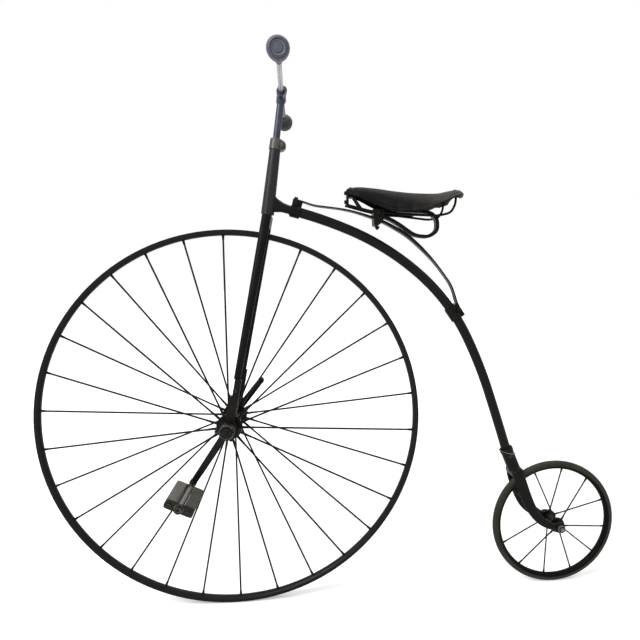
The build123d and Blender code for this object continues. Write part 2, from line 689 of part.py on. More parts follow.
def head_clip():
    """A clip round the top of the head tube, closed by a lobe behind it."""
    top = HEAD_TUBE_START + HEAD_TUBE_LENGTH
    low, high = head_point(top - CLIP_HEIGHT), head_point(top)
    ring = rod(side(low), side(high), HEAD_TUBE_TOP_RADIUS + 2 * CLIP_WALL,
               HEAD_TUBE_TOP_RADIUS + CLIP_WALL)
    lobe = across(head_point(top - CLIP_LOBE_DOWN, HEAD_TUBE_TOP_RADIUS), CLIP_LOBE_RADIUS,
                  -CLIP_LOBE_THICKNESS / 2, CLIP_LOBE_THICKNESS / 2)
    post_room = rod(side(CROWN), side(head_point(HANDLEBAR_HEIGHT)), HEAD_TUBE_TOP_RADIUS - 1.0)
    return ring + lobe - head_cone() - post_room


# ---- rear fork


def rear_socket():
    """The socket on the lower end of the backbone and the crown over the rear tyre."""
    collar_end = ahead(SOCKET_TOP, SOCKET_HEADING, COLLAR_LENGTH)
    body = rod(side(SOCKET_TOP), side(SOCKET_END), SOCKET_RADIUS)
    body += rod(side(SOCKET_TOP), side(collar_end), COLLAR_RADIUS)
    half = LEG_TOP_SPREAD + LEG_THICKNESS / 2
    block = Box(2 * half, REAR_CROWN_DEPTH, REAR_CROWN_HEIGHT)
    block = fillet(block.edges(), REAR_CROWN_ROUNDING)
    middle = ahead(SOCKET_END, SOCKET_HEADING, REAR_CROWN_DROP)
    body += side_plane(middle, SOCKET_HEADING) * block
    tyre_half = REAR_RIM_WIDTH / 2 + REAR_TYRE_GAP
    body -= across(REAR_AXLE, REAR_WHEEL_RADIUS + REAR_TYRE_GAP, -tyre_half, tyre_half)
    return body - backbone()


# a leg from the socket's end to the rear axle: shares of the way back and down, width
LEG_LINE = [(0.03, 0.05, 29.0), (0.095, 0.23, 31.0), (0.205, 0.46, 29.0), (0.35, 0.69, 26.0),
            (0.55, 0.87, 22.0), (0.77, 0.96, 20.0), (1.0, 1.0, 18.0)]


def rear_leg():
    """The left leg: a forged blade, oval across, swept back and outwards to an eye."""
    points = [(SOCKET_END[0] + back * REAR_AXLE_BACK, SOCKET_END[1] - down * REAR_AXLE_DOWN)
              for back, down, _ in LEG_LINE]
    sections = []
    for i, (_, down, width) in enumerate(LEG_LINE):
        before, after = points[max(i - 1, 0)], points[min(i + 1, len(points) - 1)]
        heading = degrees(atan2(after[1] - before[1], after[0] - before[0]))
        spread = LEG_TOP_SPREAD + down * (LEG_SPREAD - LEG_TOP_SPREAD)
        section_plane = side_plane(points[i], heading, -spread)
        sections.append(section_plane * Ellipse(LEG_THICKNESS / 2, width / 2))
    blade = loft(sections)
    edge = LEG_EYE_THICKNESS / 2
    low, high = -LEG_SPREAD - 3 * edge, -LEG_SPREAD + 3 * edge
    eye_room = across(REAR_AXLE, LEG_EYE_RADIUS, low, high)
    eye = across(REAR_AXLE, LEG_EYE_RADIUS, -LEG_SPREAD - edge, -LEG_SPREAD + edge)
    leg = (blade - eye_room) + eye - rear_socket()
    return leg - across(REAR_AXLE, REAR_AXLE_RADIUS, low, high)


def rear_axle():
    """The fixed axle with its cones inside the legs and nuts outside them."""
    outer = LEG_SPREAD + LEG_EYE_THICKNESS / 2
    inner = LEG_SPREAD - LEG_EYE_THICKNESS / 2
    hub_end = REAR_FLANGE_SPAN / 2 + REAR_FLANGE_THICKNESS / 2
    tip = outer + REAR_NUT_THICKNESS + REAR_AXLE_TIP
    axle = across(REAR_AXLE, REAR_AXLE_RADIUS, -tip, tip)
    nut = across(REAR_AXLE, REAR_NUT_RADIUS, outer, outer + REAR_NUT_THICKNESS)
    cone = rod(side(REAR_AXLE, hub_end + CONE_PLAY), side(REAR_AXLE, inner),
               REAR_AXLE_RADIUS * 1.2, REAR_NUT_RADIUS)
    return axle + nut + cone + mirrored(nut) + mirrored(cone)


# ---- leaf spring

SPRING_MIDDLE = SPRING_CLAMP_START + SPRING_CLAMP_LENGTH / 2
SPRING_SEAT = backbone_point(SPRING_MIDDLE, SPRING_CLAMP_HEIGHT + SPRING_FRONT_THICKNESS / 2)
SPRING_SLOPE = backbone_heading(SPRING_MIDDLE)
# back and up from the seat on the front clamp, thickness
SPRING_LINE = [(36.0, -12.0, 3.0), (121.0, -23.0, 3.5), (200.0, -49.0, 6.5),
               (260.0, -83.0, 8.0), (300.0, -120.0, 6.0), (330.0, -153.0, 3.5),
               (369.0, -206.0, 3.0)]
REAR_CLIP_END = REAR_CLIP_DISTANCE + REAR_CLIP_LENGTH


def spring_points():
    start = [(ahead(SPRING_SEAT, SPRING_SLOPE, d), SPRING_FRONT_THICKNESS)
             for d in (-SPRING_CLAMP_LENGTH / 2, SPRING_CLAMP_LENGTH / 2)]
    middle = [((SPRING_SEAT[0] + back, SPRING_SEAT[1] + up), thickness)
              for back, up, thickness in SPRING_LINE]
    tail = [(backbone_point(REAR_CLIP_END - back, TAIL_LUG_HEIGHT + SPRING_TAIL_THICKNESS / 2),
             SPRING_TAIL_THICKNESS) for back in (SPRING_TAIL_LENGTH, 0.0)]
    return start + middle + tail


def leaf_spring():
    points = spring_points()
    half = SPRING_WIDTH / 2
    return strip([p for p, _ in points], [t for _, t in points], -half, half)


def front_spring_clamp():
    """A ring round the backbone with an ear up to the leaf's seat."""
    start, end = SPRING_CLAMP_START, SPRING_CLAMP_START + SPRING_CLAMP_LENGTH
    ring = rod(side(backbone_point(start)), side(backbone_point(end)),
               BACKBONE_RADIUS + SPRING_CLAMP_WALL)
    half = SPRING_CLAMP_THICKNESS / 2
    outline = [backbone_point(start), backbone_point(end),
               backbone_point(end, SPRING_CLAMP_HEIGHT),
               backbone_point(start, SPRING_CLAMP_HEIGHT)]
    body = ring + plate(outline, -half, half)
    return body - backbone() - leaf_spring()


def rear_spring_clip():
    """A ring round the backbone with a lug that the leaf's tail lies on."""
    start, end = REAR_CLIP_DISTANCE, REAR_CLIP_END
    ring = rod(side(backbone_point(start)), side(backbone_point(end)),
               BACKBONE_RADIUS + REAR_CLIP_WALL)
    half = SPRING_WIDTH * 0.6
    outline = [backbone_point(start), backbone_point(end),
               backbone_point(end, TAIL_LUG_HEIGHT), backbone_point(start, TAIL_LUG_HEIGHT)]
    body = ring + plate(outline, -half, half)
    return body - backbone() - leaf_spring()


# ---- saddle

SADDLE_BASE = (SPRING_SEAT[0] + 186.0, SPRING_SEAT[1] - 40.0)
# back from the clamp, half width, height of the top, height of the edge
LEATHER_SECTIONS = [(-67.0, 15.0, 69.0, 53.0), (-44.0, 27.0, 71.5, 45.5),
                    (-6.0, 34.0, 68.5, 26.5), (42.0, 51.0, 61.5, 7.5),
                    (89.0, 68.0, 56.5, 9.5), (139.0, 86.0, 54.5, 25.5),
                    (173.0, 89.0, 60.0, 39.5), (192.0, 66.0, 62.5, 46.5)]
SEAT_SECTION = LEATHER_SECTIONS[4]
SEAT = (SADDLE_BASE[0] + SEAT_SECTION[0], SADDLE_BASE[1] + SEAT_SECTION[2])
# back, out, up from the clamp: the line of a rail from the nose to the back of the seat
RAIL_LINE = [(-74.0, 12.0, 29.0), (-12.0, 14.0, 12.0), (33.0, 20.0, 7.0), (80.0, 25.0, 2.5),
             (138.0, 45.0, -2.5), (166.0, 54.0, 3.0), (177.0, 54.0, 22.0), (179.0, 54.0, 46.0)]
# back and up from the clamp: the line of the C spring from the clamp round to the bridge
C_SPRING_LINE = [(-9.0, 6.5), (20.0, 0.5), (50.0, -15.0), (92.0, -45.0), (126.0, -48.0),
                 (147.0, -34.0), (147.0, -8.0), (134.0, 8.0), (106.0, 13.0), (50.0, 15.0)]
# back and up: the outline of the clamp
CLAMP_OUTLINE = [(-10.0, 18.0), (16.0, 17.0), (17.0, -2.0), (12.0, -13.0), (1.0, -22.0),
                 (-8.0, -20.0)]


def saddle_point(back, up):
    return (SADDLE_BASE[0] + back, SADDLE_BASE[1] + up)


def leather_body(inset, drop, start=0.0, end=0.0):
    """A loft of arched sections; inset takes the leather's thickness off all round."""
    sections = []
    for i, (back, half_width, top, edge) in enumerate(LEATHER_SECTIONS):
        back += start if i == 0 else end if i == len(LEATHER_SECTIONS) - 1 else 0.0
        x, _ = saddle_point(back, 0)
        base = SADDLE_BASE[1]
        w = half_width - inset
        arch = ThreePointArc((x, -w, base + edge - drop), (x, 0, base + top - inset),
                             (x, w, base + edge - drop))
        floor = Line((x, w, base + edge - drop), (x, -w, base + edge - drop))
        sections.append(Face(Wire([arch, floor])))
    return loft(sections, ruled=True)


def saddle_leather():
    outer = leather_body(0.0, 0.0)
    inner = leather_body(LEATHER_THICKNESS, 2.0, start=LEATHER_THICKNESS, end=1.0)
    return outer - inner


def leather_hollow():
    """The room under the leather, short of its back edge."""
    return leather_body(LEATHER_THICKNESS, 2.0, start=LEATHER_THICKNESS, end=-6.0)


def saddle_rail():
    """The left wire rail."""
    points = [side(saddle_point(back, up), -out) for back, out, up in RAIL_LINE]
    return bent_rod(points, RAIL_DIAMETER / 2) - saddle_leather()


def c_spring():
    """The spring that curls back from the clamp to the bridge under the leather."""
    points = [saddle_point(back, up) for back, up in C_SPRING_LINE]
    half = C_SPRING_WIDTH / 2
    return strip(points, [C_SPRING_THICKNESS] * len(points), -half, half)


def saddle_bridge():
    """The cross plate under the leather that the C spring is bolted to."""
    middle = saddle_point(BRIDGE_BACK, BRIDGE_UP)
    block = Pos(*side(middle)) * Box(BRIDGE_LENGTH, 2 * LEATHER_SECTIONS[5][1], BRIDGE_THICKNESS)
    return (block & leather_hollow()) - c_spring()


def saddle_clamp():
    """The block that holds the rails and the C spring on the leaf."""
    half = SADDLE_CLAMP_WIDTH / 2
    block = plate([saddle_point(back, up) for back, up in CLAMP_OUTLINE], -half, half)
    for piece in (saddle_rail(), c_spring()):
        block = block - piece - mirrored(piece)
    return block - leaf_spring()


def saddle_nose():
    """The plate under the nose, its tongue, its two bolts and the struts to the rails."""
    back, _, top, _ = LEATHER_SECTIONS[0]
    rear, _ = saddle_point(back, 0)
    front = rear - NOSE_PLATE_THICKNESS
    base = SADDLE_BASE[1]
    low, high = base + NOSE_PLATE_LOW, base + top - LEATHER_THICKNESS
    body = Pos((front + rear) / 2, 0, (low + high) / 2) * Box(NOSE_PLATE_THICKNESS,
                                                             NOSE_PLATE_WIDTH, high - low)
    for up in NOSE_BOLT_HEIGHTS:
        body += rod((front - NOSE_BOLT_LENGTH, 0, base + up), (front, 0, base + up),
                    NOSE_BOLT_RADIUS)
    tongue = (rear + TONGUE_LENGTH / 2, 0, base + TONGUE_UP)
    body += Pos(*tongue) * Box(TONGUE_LENGTH, TONGUE_WIDTH, TONGUE_THICKNESS)
    foot_back, foot_out, foot_up = NOSE_STRUT_FOOT
    strut_top = rear + TONGUE_LENGTH - 2 * NOSE_STRUT_RADIUS
    for s in (-1, 1):
        foot = side(saddle_point(foot_back, foot_up), s * foot_out)
        body += rod((strut_top, s * NOSE_STRUT_SPREAD, base + TONGUE_UP), foot, NOSE_STRUT_RADIUS)
    return body - saddle_rail() - mirrored(saddle_rail()) - saddle_leather()


# ---- the whole machine


def both(name, shape):
    """A left piece and its twin on the right."""
    return {name + "_left": shape, name + "_right": mirrored(shape)}


def machine():
    parts = {}
    parts.update(front_wheel())
    parts.update(rear_wheel())
    parts["crank_left"] = left_crank()
    short = crank(SHORT_CRANK_ANGLE, SHORT_CRANK_LENGTH, SHORT_CRANK_EYE_RADIUS)
    parts["crank_right"] = mirrored(short)
    parts["pedal_pin"] = pedal_pin()
    parts.update(pedal())
    parts.update(both("fork_blade", fork_blade()))
    parts.update(both("fork_end", fork_end()))
    parts["fork_crown"] = fork_crown()
    parts["steering_post"] = steering_post()
    parts["handlebar_lug"] = handlebar_lug()
    parts["handlebar"] = handlebar()
    parts.update(both("grip", grip()))
    parts["head_tube"] = head_tube()
    parts["head_clip"] = head_clip()
    parts["neck"] = neck()
    parts["backbone"] = backbone()
    parts["rear_socket"] = rear_socket()
    parts.update(both("rear_leg", rear_leg()))
    parts["rear_axle"] = rear_axle()
    parts["front_spring_clamp"] = front_spring_clamp()
    parts["rear_spring_clip"] = rear_spring_clip()
    parts["leaf_spring"] = leaf_spring()
    parts["saddle_clamp"] = saddle_clamp()
    parts["c_spring"] = c_spring()
    parts["saddle_bridge"] = saddle_bridge()
    parts.update(both("saddle_rail", saddle_rail()))
    parts["saddle_nose"] = saddle_nose()
    parts["saddle_leather"] = saddle_leather()
    return parts


os.makedirs("parts", exist_ok=True)
for node, shape in machine().items():
    export_step(Pos(-SEAT[0], 0, -SEAT[1]) * shape, f"parts/{node}.step")
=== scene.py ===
"""The looks of a boy's high-wheel bicycle, built round its fixed frame.  Metres, seat at the origin."""

import json
import math

import bmesh
import bpy
import numpy as np
from mathutils import Matrix, Vector

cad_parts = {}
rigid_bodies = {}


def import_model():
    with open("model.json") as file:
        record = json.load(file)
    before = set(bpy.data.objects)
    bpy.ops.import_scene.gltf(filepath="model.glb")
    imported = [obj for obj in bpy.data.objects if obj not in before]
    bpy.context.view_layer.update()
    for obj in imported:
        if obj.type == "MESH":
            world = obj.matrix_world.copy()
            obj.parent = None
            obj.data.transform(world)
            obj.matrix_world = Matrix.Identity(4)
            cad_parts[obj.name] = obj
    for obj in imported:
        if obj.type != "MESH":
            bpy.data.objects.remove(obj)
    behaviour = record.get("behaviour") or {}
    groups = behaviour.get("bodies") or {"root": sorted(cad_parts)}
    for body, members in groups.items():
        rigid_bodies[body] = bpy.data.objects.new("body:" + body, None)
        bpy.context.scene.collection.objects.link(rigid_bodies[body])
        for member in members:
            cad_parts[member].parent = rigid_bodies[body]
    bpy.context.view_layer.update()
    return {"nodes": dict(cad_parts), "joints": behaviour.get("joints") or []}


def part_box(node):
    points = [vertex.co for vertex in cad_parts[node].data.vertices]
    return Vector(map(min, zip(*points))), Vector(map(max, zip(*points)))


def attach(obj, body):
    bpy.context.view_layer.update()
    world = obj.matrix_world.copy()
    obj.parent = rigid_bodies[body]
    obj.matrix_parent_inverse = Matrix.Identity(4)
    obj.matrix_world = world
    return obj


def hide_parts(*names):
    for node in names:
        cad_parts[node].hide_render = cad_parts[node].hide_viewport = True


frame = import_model()

JOINTS = {joint["name"]: joint for joint in frame["joints"]}


def joint_place(name):
    """Where a joint is."""
    return Vector(JOINTS[name]["pos_m"])


def joint_axis(name):
    """Which way a joint's axis points."""
    return Vector(JOINTS[name]["axis"]).normalized()


FRONT_AXLE = joint_place("front_wheel_spin")
REAR_AXLE = joint_place("rear_wheel_spin")
CROWN = joint_place("steering_turn")
HEAD_LINE = joint_axis("steering_turn")
PEDAL_MIDDLE = joint_place("pedal_spin")
PEDAL_LINE = joint_axis("pedal_spin")
GROUND = min(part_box("front_tyre")[0].z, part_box("rear_tyre")[0].z)
FORK_LINE = (CROWN - FRONT_AXLE).normalized()
ACROSS = Vector((0, 1, 0))
NEAR = -1  # the rider's left, where the camera stands
FAR = 1
SIDES = (NEAR, FAR)


# ---- node helpers


def add_node(tree, kind, inputs=None, **settings):
    """Adds a node. inputs maps a socket's name or number to a value or to another socket."""
    made = tree.nodes.new(kind)
    for key, value in settings.items():
        setattr(made, key, value)
    for key, value in (inputs or {}).items():
        socket = made.inputs[key]
        if isinstance(value, bpy.types.NodeSocket):
            tree.links.new(value, socket)
        else:
            socket.default_value = value
    return made


def calculate(tree, operation, first, second=0.0, clamp=False):
    """One step of arithmetic."""
    made = add_node(tree, "ShaderNodeMath", {0: first, 1: second}, operation=operation, use_clamp=clamp)
    return made.outputs[0]


def times(tree, first, second, clamp=False):
    """A product."""
    return calculate(tree, "MULTIPLY", first, second, clamp)


def plus(tree, first, second, clamp=False):
    """A sum."""
    return calculate(tree, "ADD", first, second, clamp)


def vector_step(tree, operation, first, second):
    """One step of arithmetic on vectors."""
    made = add_node(tree, "ShaderNodeVectorMath", {0: first, 1: second}, operation=operation)
    return made.outputs["Vector"]


def length_of(tree, vector):
    """How long a vector is."""
    return add_node(tree, "ShaderNodeVectorMath", {0: vector}, operation="LENGTH").outputs["Value"]


def scaled(tree, vector, factor):
    """A vector made longer or shorter."""
    made = add_node(tree, "ShaderNodeVectorMath", {0: vector, "Scale": factor}, operation="SCALE")
    return made.outputs["Vector"]


def blend_colour(tree, share, first, second):
    """first where share is 0, second where it is 1."""
    made = add_node(tree, "ShaderNodeMix", {0: share, 6: first, 7: second}, data_type="RGBA")
    return made.outputs[2]


def layered(tree, tone, *layers):
    """Lays colours over a tone in turn, each by its own share."""
    for share, over in layers:
        tone = blend_colour(tree, share, tone, over)
    return tone


def summed(tree, first, *parts):
    """first with each value added by its own weight."""
    for value, weight in parts:
        first = plus(tree, first, times(tree, value, weight))
    return first


def spread(tree, value, low, high, to_low=0.0, to_high=1.0):
    """Stretches low..high to to_low..to_high and holds it inside."""
    made = add_node(tree, "ShaderNodeMapRange", {"Value": value, "From Min": low, "From Max": high,
                                                 "To Min": to_low, "To Max": to_high})
    return made.outputs["Result"]


def colour(red, green, blue):
    """A colour with its alpha."""
    return (red, green, blue, 1.0)


def new_group(name, inputs, outputs):
    """An empty shader group with float inputs and float outputs."""
    tree = bpy.data.node_groups.new(name, "ShaderNodeTree")
    for title, value in inputs.items():
        socket = tree.interface.new_socket(name=title, in_out="INPUT", socket_type="NodeSocketFloat")
        socket.default_value = value
    for title in outputs:
        tree.interface.new_socket(name=title, in_out="OUTPUT", socket_type="NodeSocketFloat")
    return tree, add_node(tree, "NodeGroupInput"), add_node(tree, "NodeGroupOutput")


def object_place(tree):
    """The place on the piece, in the piece's own frame."""
    return add_node(tree, "ShaderNodeTexCoord").outputs["Object"]


def noise(tree, place, scale, detail=4.0, roughness=0.55, distortion=0.0):
    """A cloudy value about 0.5."""
    made = add_node(tree, "ShaderNodeTexNoise",
                    {"Vector": place, "Scale": scale, "Detail": detail, "Roughness": roughness,
                     "Distortion": distortion})
    return made.outputs["Fac"]


def build_grain():
    """Broad clouds, a fine tooth and scattered spots, all from the piece's own place."""
    tree, given, result = new_group("hand_grain", {"Scale": 20.0, "Spot Share": 0.3},
                                    ["Clouds", "Tooth", "Spots"])
    place = object_place(tree)
    scale = given.outputs["Scale"]
    clouds = noise(tree, place, scale, 5.0, 0.6, 0.4)
    tooth = noise(tree, place, times(tree, scale, 14.0), 3.0, 0.6)
    patches = noise(tree, place, times(tree, scale, 5.0), 8.0, 0.72)
    low = calculate(tree, "SUBTRACT", 0.72, times(tree, given.outputs["Spot Share"], 0.3))
    spots = spread(tree, patches, low, plus(tree, low, 0.07))
    tree.links.new(spread(tree, clouds, 0.3, 0.7), result.inputs["Clouds"])
    tree.links.new(tooth, result.inputs["Tooth"])
    tree.links.new(spots, result.inputs["Spots"])
    return tree


def build_edge_wear():
    """Where hands, boots and rags have rubbed the corners through."""
    tree, given, result = new_group("rubbed_edges", {"Width": 0.001, "Amount": 1.0, "Scale": 60.0},
                                    ["Mask"])
    rounded = add_node(tree, "ShaderNodeBevel", {"Radius": given.outputs["Width"]}, samples=4)
    flat = add_node(tree, "ShaderNodeNewGeometry").outputs["Normal"]
    turn = add_node(tree, "ShaderNodeVectorMath", {0: rounded.outputs["Normal"], 1: flat},
                    operation="DOT_PRODUCT")
    corner = spread(tree, turn.outputs["Value"], 0.995, 0.86)
    broken = noise(tree, object_place(tree), given.outputs["Scale"], 6.0, 0.65)
    worn = times(tree, corner, spread(tree, broken, 0.38, 0.62))
    tree.links.new(times(tree, worn, given.outputs["Amount"], clamp=True),
                   result.inputs["Mask"])
    return tree


def build_dust():
    """Dust that has settled on what faces up."""
    tree, given, result = new_group("settled_dust", {"Amount": 0.3, "Scale": 30.0}, ["Mask"])
    up = add_node(tree, "ShaderNodeSeparateXYZ",
                  {"Vector": add_node(tree, "ShaderNodeNewGeometry").outputs["Normal"]}).outputs["Z"]
    cover = noise(tree, object_place(tree), given.outputs["Scale"], 7.0, 0.7)
    settled = times(tree, spread(tree, up, 0.1, 1.0), spread(tree, cover, 0.3, 0.75))
    tree.links.new(times(tree, settled, given.outputs["Amount"], clamp=True),
                   result.inputs["Mask"])
    return tree


GRAIN = build_grain()
EDGE_WEAR = build_edge_wear()
DUST = build_dust()


def group_outputs(tree, group, **values):
    """Places a group and gives its outputs; a value's name is the socket's, with _ for a space."""
    made = add_node(tree, "ShaderNodeGroup", node_tree=group)
    for title, value in values.items():
        made.inputs[title.replace("_", " ")].default_value = value
    return made.outputs


def new_material(name):
    """A material with its shader, ready to be wired."""
    made = bpy.data.materials.new(name)
    made.use_nodes = True
    tree = made.node_tree
    tree.nodes.clear()
    shader = add_node(tree, "ShaderNodeBsdfPrincipled")
    output = add_node(tree, "ShaderNodeOutputMaterial")
    tree.links.new(shader.outputs["BSDF"], output.inputs["Surface"])
    return made, tree, shader


def wire_shader(tree, shader, tone, rough, specular, height, depth, strength):
    """Gives a shader its colour, roughness, gloss and small relief."""
    tree.links.new(tone, shader.inputs["Base Color"])
    tree.links.new(rough, shader.inputs["Roughness"])
    shader.inputs["Specular IOR Level"].default_value = specular
    bump = add_node(tree, "ShaderNodeBump", {"Height": height, "Strength": strength, "Distance": depth})
    tree.links.new(bump.outputs["Normal"], shader.inputs["Normal"])


# ---- finishes

DUST_ON_METAL = colour(0.16, 0.145, 0.12)
DUST_ON_RUBBER = colour(0.17, 0.155, 0.12)
DUST_ON_HIDE = colour(0.12, 0.10, 0.08)
METAL_TOOTH = 0.0002
HIDE_GRAIN = 0.0003


def back_from_seat(tree):
    """How far back a place is from the seat."""
    return add_node(tree, "ShaderNodeSeparateXYZ", {"Vector": object_place(tree)}).outputs["X"]


def to_far_side(tree):
    """How far a place is from the middle plane, towards the far side."""
    return add_node(tree, "ShaderNodeSeparateXYZ", {"Vector": object_place(tree)}).outputs["Y"]


def from_pedal_line(tree):
    """How far a place is from the line that the pedal turns on."""
    from_middle = vector_step(tree, "SUBTRACT", object_place(tree), PEDAL_MIDDLE)
    aside = vector_step(tree, "CROSS_PRODUCT", from_middle, PEDAL_LINE)
    return length_of(tree, aside)


def worn_metal(name, base, second, bare, rust, roughness=(0.34, 0.5), metallic=0.0, wear=0.6,
               rust_share=0.3, dust=0.06, scale=22.0, specular=0.1, edge=0.0010, zoned=None):
    """Old paint or dark steel: two tones, rubbed corners, rust spots and dust.

    zoned = (a measure of the place, where the zone starts, where it is full, the zone's tone). On the bar
    this tone is painted shade, on the backbone the browner rear, on the pedal frame the pale barrel.
    """
    made, tree, shader = new_material(name)
    grain = group_outputs(tree, GRAIN, Scale=scale, Spot_Share=rust_share)
    rubbed = group_outputs(tree, EDGE_WEAR, Width=edge, Amount=wear, Scale=scale * 3)["Mask"]
    dusty = group_outputs(tree, DUST, Amount=dust, Scale=scale * 1.6)["Mask"]
    tone = blend_colour(tree, grain["Clouds"], colour(*base), colour(*second))
    if zoned:
        measure, start, full, zone_tone = zoned
        tone = blend_colour(tree, spread(tree, measure(tree), start, full), tone, colour(*zone_tone))
    tone = layered(tree, tone, (rubbed, colour(*bare)), (times(tree, grain["Spots"], 0.75), colour(*rust)),
                   (dusty, DUST_ON_METAL))
    rough = spread(tree, grain["Clouds"], 0.0, 1.0, *roughness)
    rough = summed(tree, rough, (grain["Spots"], 0.25), (dusty, 0.4))
    clean = calculate(tree, "SUBTRACT", 1.0, grain["Spots"])
    metal = times(tree, plus(tree, times(tree, rubbed, 0.6), metallic), clean, clamp=True)
    tree.links.new(metal, shader.inputs["Metallic"])
    height = summed(tree, grain["Tooth"], (grain["Spots"], 0.8))
    wire_shader(tree, shader, tone, rough, specular, height, METAL_TOOTH, 0.6)
    return made


def old_rubber(name, base, second, dust=0.4, roughness=0.6, scale=26.0, cracks=0.0006, specular=0.3,
               crack_tone=0.55, spots=0.5):
    """Hard old rubber: bloom in clouds, fine cracks and dust in the pores."""
    made, tree, shader = new_material(name)
    grain = group_outputs(tree, GRAIN, Scale=scale, Spot_Share=0.45)
    dusty = group_outputs(tree, DUST, Amount=dust, Scale=scale * 2)["Mask"]
    cells = add_node(tree, "ShaderNodeTexVoronoi",
                     {"Vector": object_place(tree), "Scale": scale * 16},
                     feature="DISTANCE_TO_EDGE").outputs["Distance"]
    seam = spread(tree, cells, 0.0, 0.06)
    bloom = colour(*(min(1.0, c * 1.7) for c in second))
    dark = colour(*(c * crack_tone for c in base))
    tone = layered(tree, colour(*base), (grain["Clouds"], colour(*second)),
                   (times(tree, grain["Spots"], spots), bloom), (dusty, DUST_ON_RUBBER))
    tone = blend_colour(tree, seam, dark, tone)
    rough = spread(tree, grain["Clouds"], 0.0, 1.0, roughness - 0.1, roughness + 0.12)
    height = summed(tree, grain["Tooth"], (seam, 0.8))
    wire_shader(tree, shader, tone, rough, specular, height, cracks, 0.5)
    return made


def saddle_hide_material():
    """Thick black hide, brown where it is rubbed, with a painted brown sheen towards the rear, a fine
    pebble and soft creases.
    """
    made, tree, shader = new_material("saddle_hide_black")
    grain = group_outputs(tree, GRAIN, Scale=16.0, Spot_Share=0.25)
    rubbed = group_outputs(tree, EDGE_WEAR, Width=0.003, Amount=0.35, Scale=70.0)["Mask"]
    dusty = group_outputs(tree, DUST, Amount=0.06, Scale=46.0)["Mask"]
    place = object_place(tree)
    rear = spread(tree, back_from_seat(tree), -0.02, 0.09)
    cloud = noise(tree, place, 28.0, 5.0, 0.6, 0.8)
    # painted sheen: a brown sheen laid in clouds over the hide, growing towards the rear
    rear_brown_sheen = times(tree, rear, spread(tree, cloud, 0.36, 0.62))
    tone = layered(tree, colour(0.0028, 0.0027, 0.0026), (grain["Clouds"], colour(0.0052, 0.0049, 0.0046)),
                   (rear_brown_sheen, colour(0.024, 0.0175, 0.0125)), (rubbed, colour(0.030, 0.021, 0.015)),
                   (dusty, DUST_ON_HIDE))
    pebble = add_node(tree, "ShaderNodeTexVoronoi", {"Vector": place, "Scale": 520.0},
                      feature="SMOOTH_F1").outputs["Distance"]
    pore = add_node(tree, "ShaderNodeTexVoronoi", {"Vector": place, "Scale": 210.0},
                    feature="DISTANCE_TO_EDGE").outputs["Distance"]
    crease = noise(tree, place, 34.0, 6.0, 0.7, 2.2)
    from_crease = calculate(tree, "ABSOLUTE", calculate(tree, "SUBTRACT", crease, 0.5))
    crack = spread(tree, from_crease, 0.0, 0.025)
    tone = blend_colour(tree, crack, colour(0.0018, 0.0016, 0.0016), tone)
    rough = summed(tree, spread(tree, grain["Clouds"], 0.0, 1.0, 0.40, 0.58), (dusty, 0.4))
    height = summed(tree, times(tree, pebble, -0.5), (spread(tree, pore, 0.0, 0.1), 0.4), (crack, 0.7),
                    (grain["Tooth"], 0.4))
    wire_shader(tree, shader, tone, rough, 0.065, height, HIDE_GRAIN, 0.35)
    return made


# each metal: its two tones, where it is rubbed bare, its rust
RUST = (0.030, 0.015, 0.008)
PAINT_RUST = (0.012, 0.007, 0.004)
# painted highlight: the pale second tone, laid in broad clouds over dark steel, stands in for glints of
# light on the polished boss; the pedal pin's ring wears it too
BOSS_STEEL = worn_metal(
    "crank_boss_steel_painted_glints", (0.0060, 0.0056, 0.0048), (0.110, 0.103, 0.089), (0.16, 0.15, 0.135),
    (0.008, 0.007, 0.0055), metallic=0.7, roughness=(0.22, 0.42), rust_share=0.8, scale=64.0, wear=0.2)
BLACK_ENAMEL = worn_metal(
    "black_enamel_worn", (0.0026, 0.0026, 0.0029), (0.0056, 0.0049, 0.0041), (0.014, 0.013, 0.011),
    PAINT_RUST, specular=0.07, wear=0.15)
# painted sheen: the backbone's blue-tinted tones stand in for a bluish sheen of light on the enamel; the
# tone turns browner towards the rear
BACKBONE_ENAMEL = worn_metal(
    "backbone_enamel_worn_painted_blue_sheen", (0.0026, 0.0031, 0.0044), (0.0056, 0.0062, 0.0080), (0.060, 0.056, 0.052),
    PAINT_RUST, roughness=(0.30, 0.44), zoned=(back_from_seat, -0.10, 0.18, (0.0052, 0.0042, 0.0028)))
# the head's enamel is paler grey than the frame's other enamel; part of that paleness is painted light
# standing in for the light on the head tube
HEAD_ENAMEL = worn_metal(
    "head_enamel_grey_painted_light", (0.0085, 0.0088, 0.0090), (0.0155, 0.0155, 0.0155), (0.11, 0.105, 0.10),
    (0.020, 0.012, 0.008), roughness=(0.34, 0.48), specular=0.18)
BRACKET_ENAMEL = worn_metal(
    "fork_bracket_enamel_brown", (0.0050, 0.0042, 0.0034), (0.0105, 0.0085, 0.0068),
    (0.022, 0.019, 0.016), (0.016, 0.009, 0.006), specular=0.08, wear=0.0)
CLIP_ENAMEL = worn_metal(
    "clip_steel_brown", (0.040, 0.038, 0.034), (0.080, 0.075, 0.066), (0.20, 0.19, 0.17), RUST,
    metallic=0.2, specular=0.3, scale=50.0)
FORK_ENAMEL = worn_metal(
    "rear_fork_enamel_olive", (0.0030, 0.0029, 0.0022), (0.0062, 0.0056, 0.0040), (0.030, 0.027, 0.022),
    RUST, roughness=(0.30, 0.44), specular=0.09, wear=0.2)
WHEEL_ENAMEL = worn_metal(
    "rim_enamel_worn", (0.0032, 0.0032, 0.0032), (0.0064, 0.0060, 0.0056), (0.065, 0.060, 0.054), RUST,
    scale=30.0, roughness=(0.30, 0.45), specular=0.12, dust=0.03)
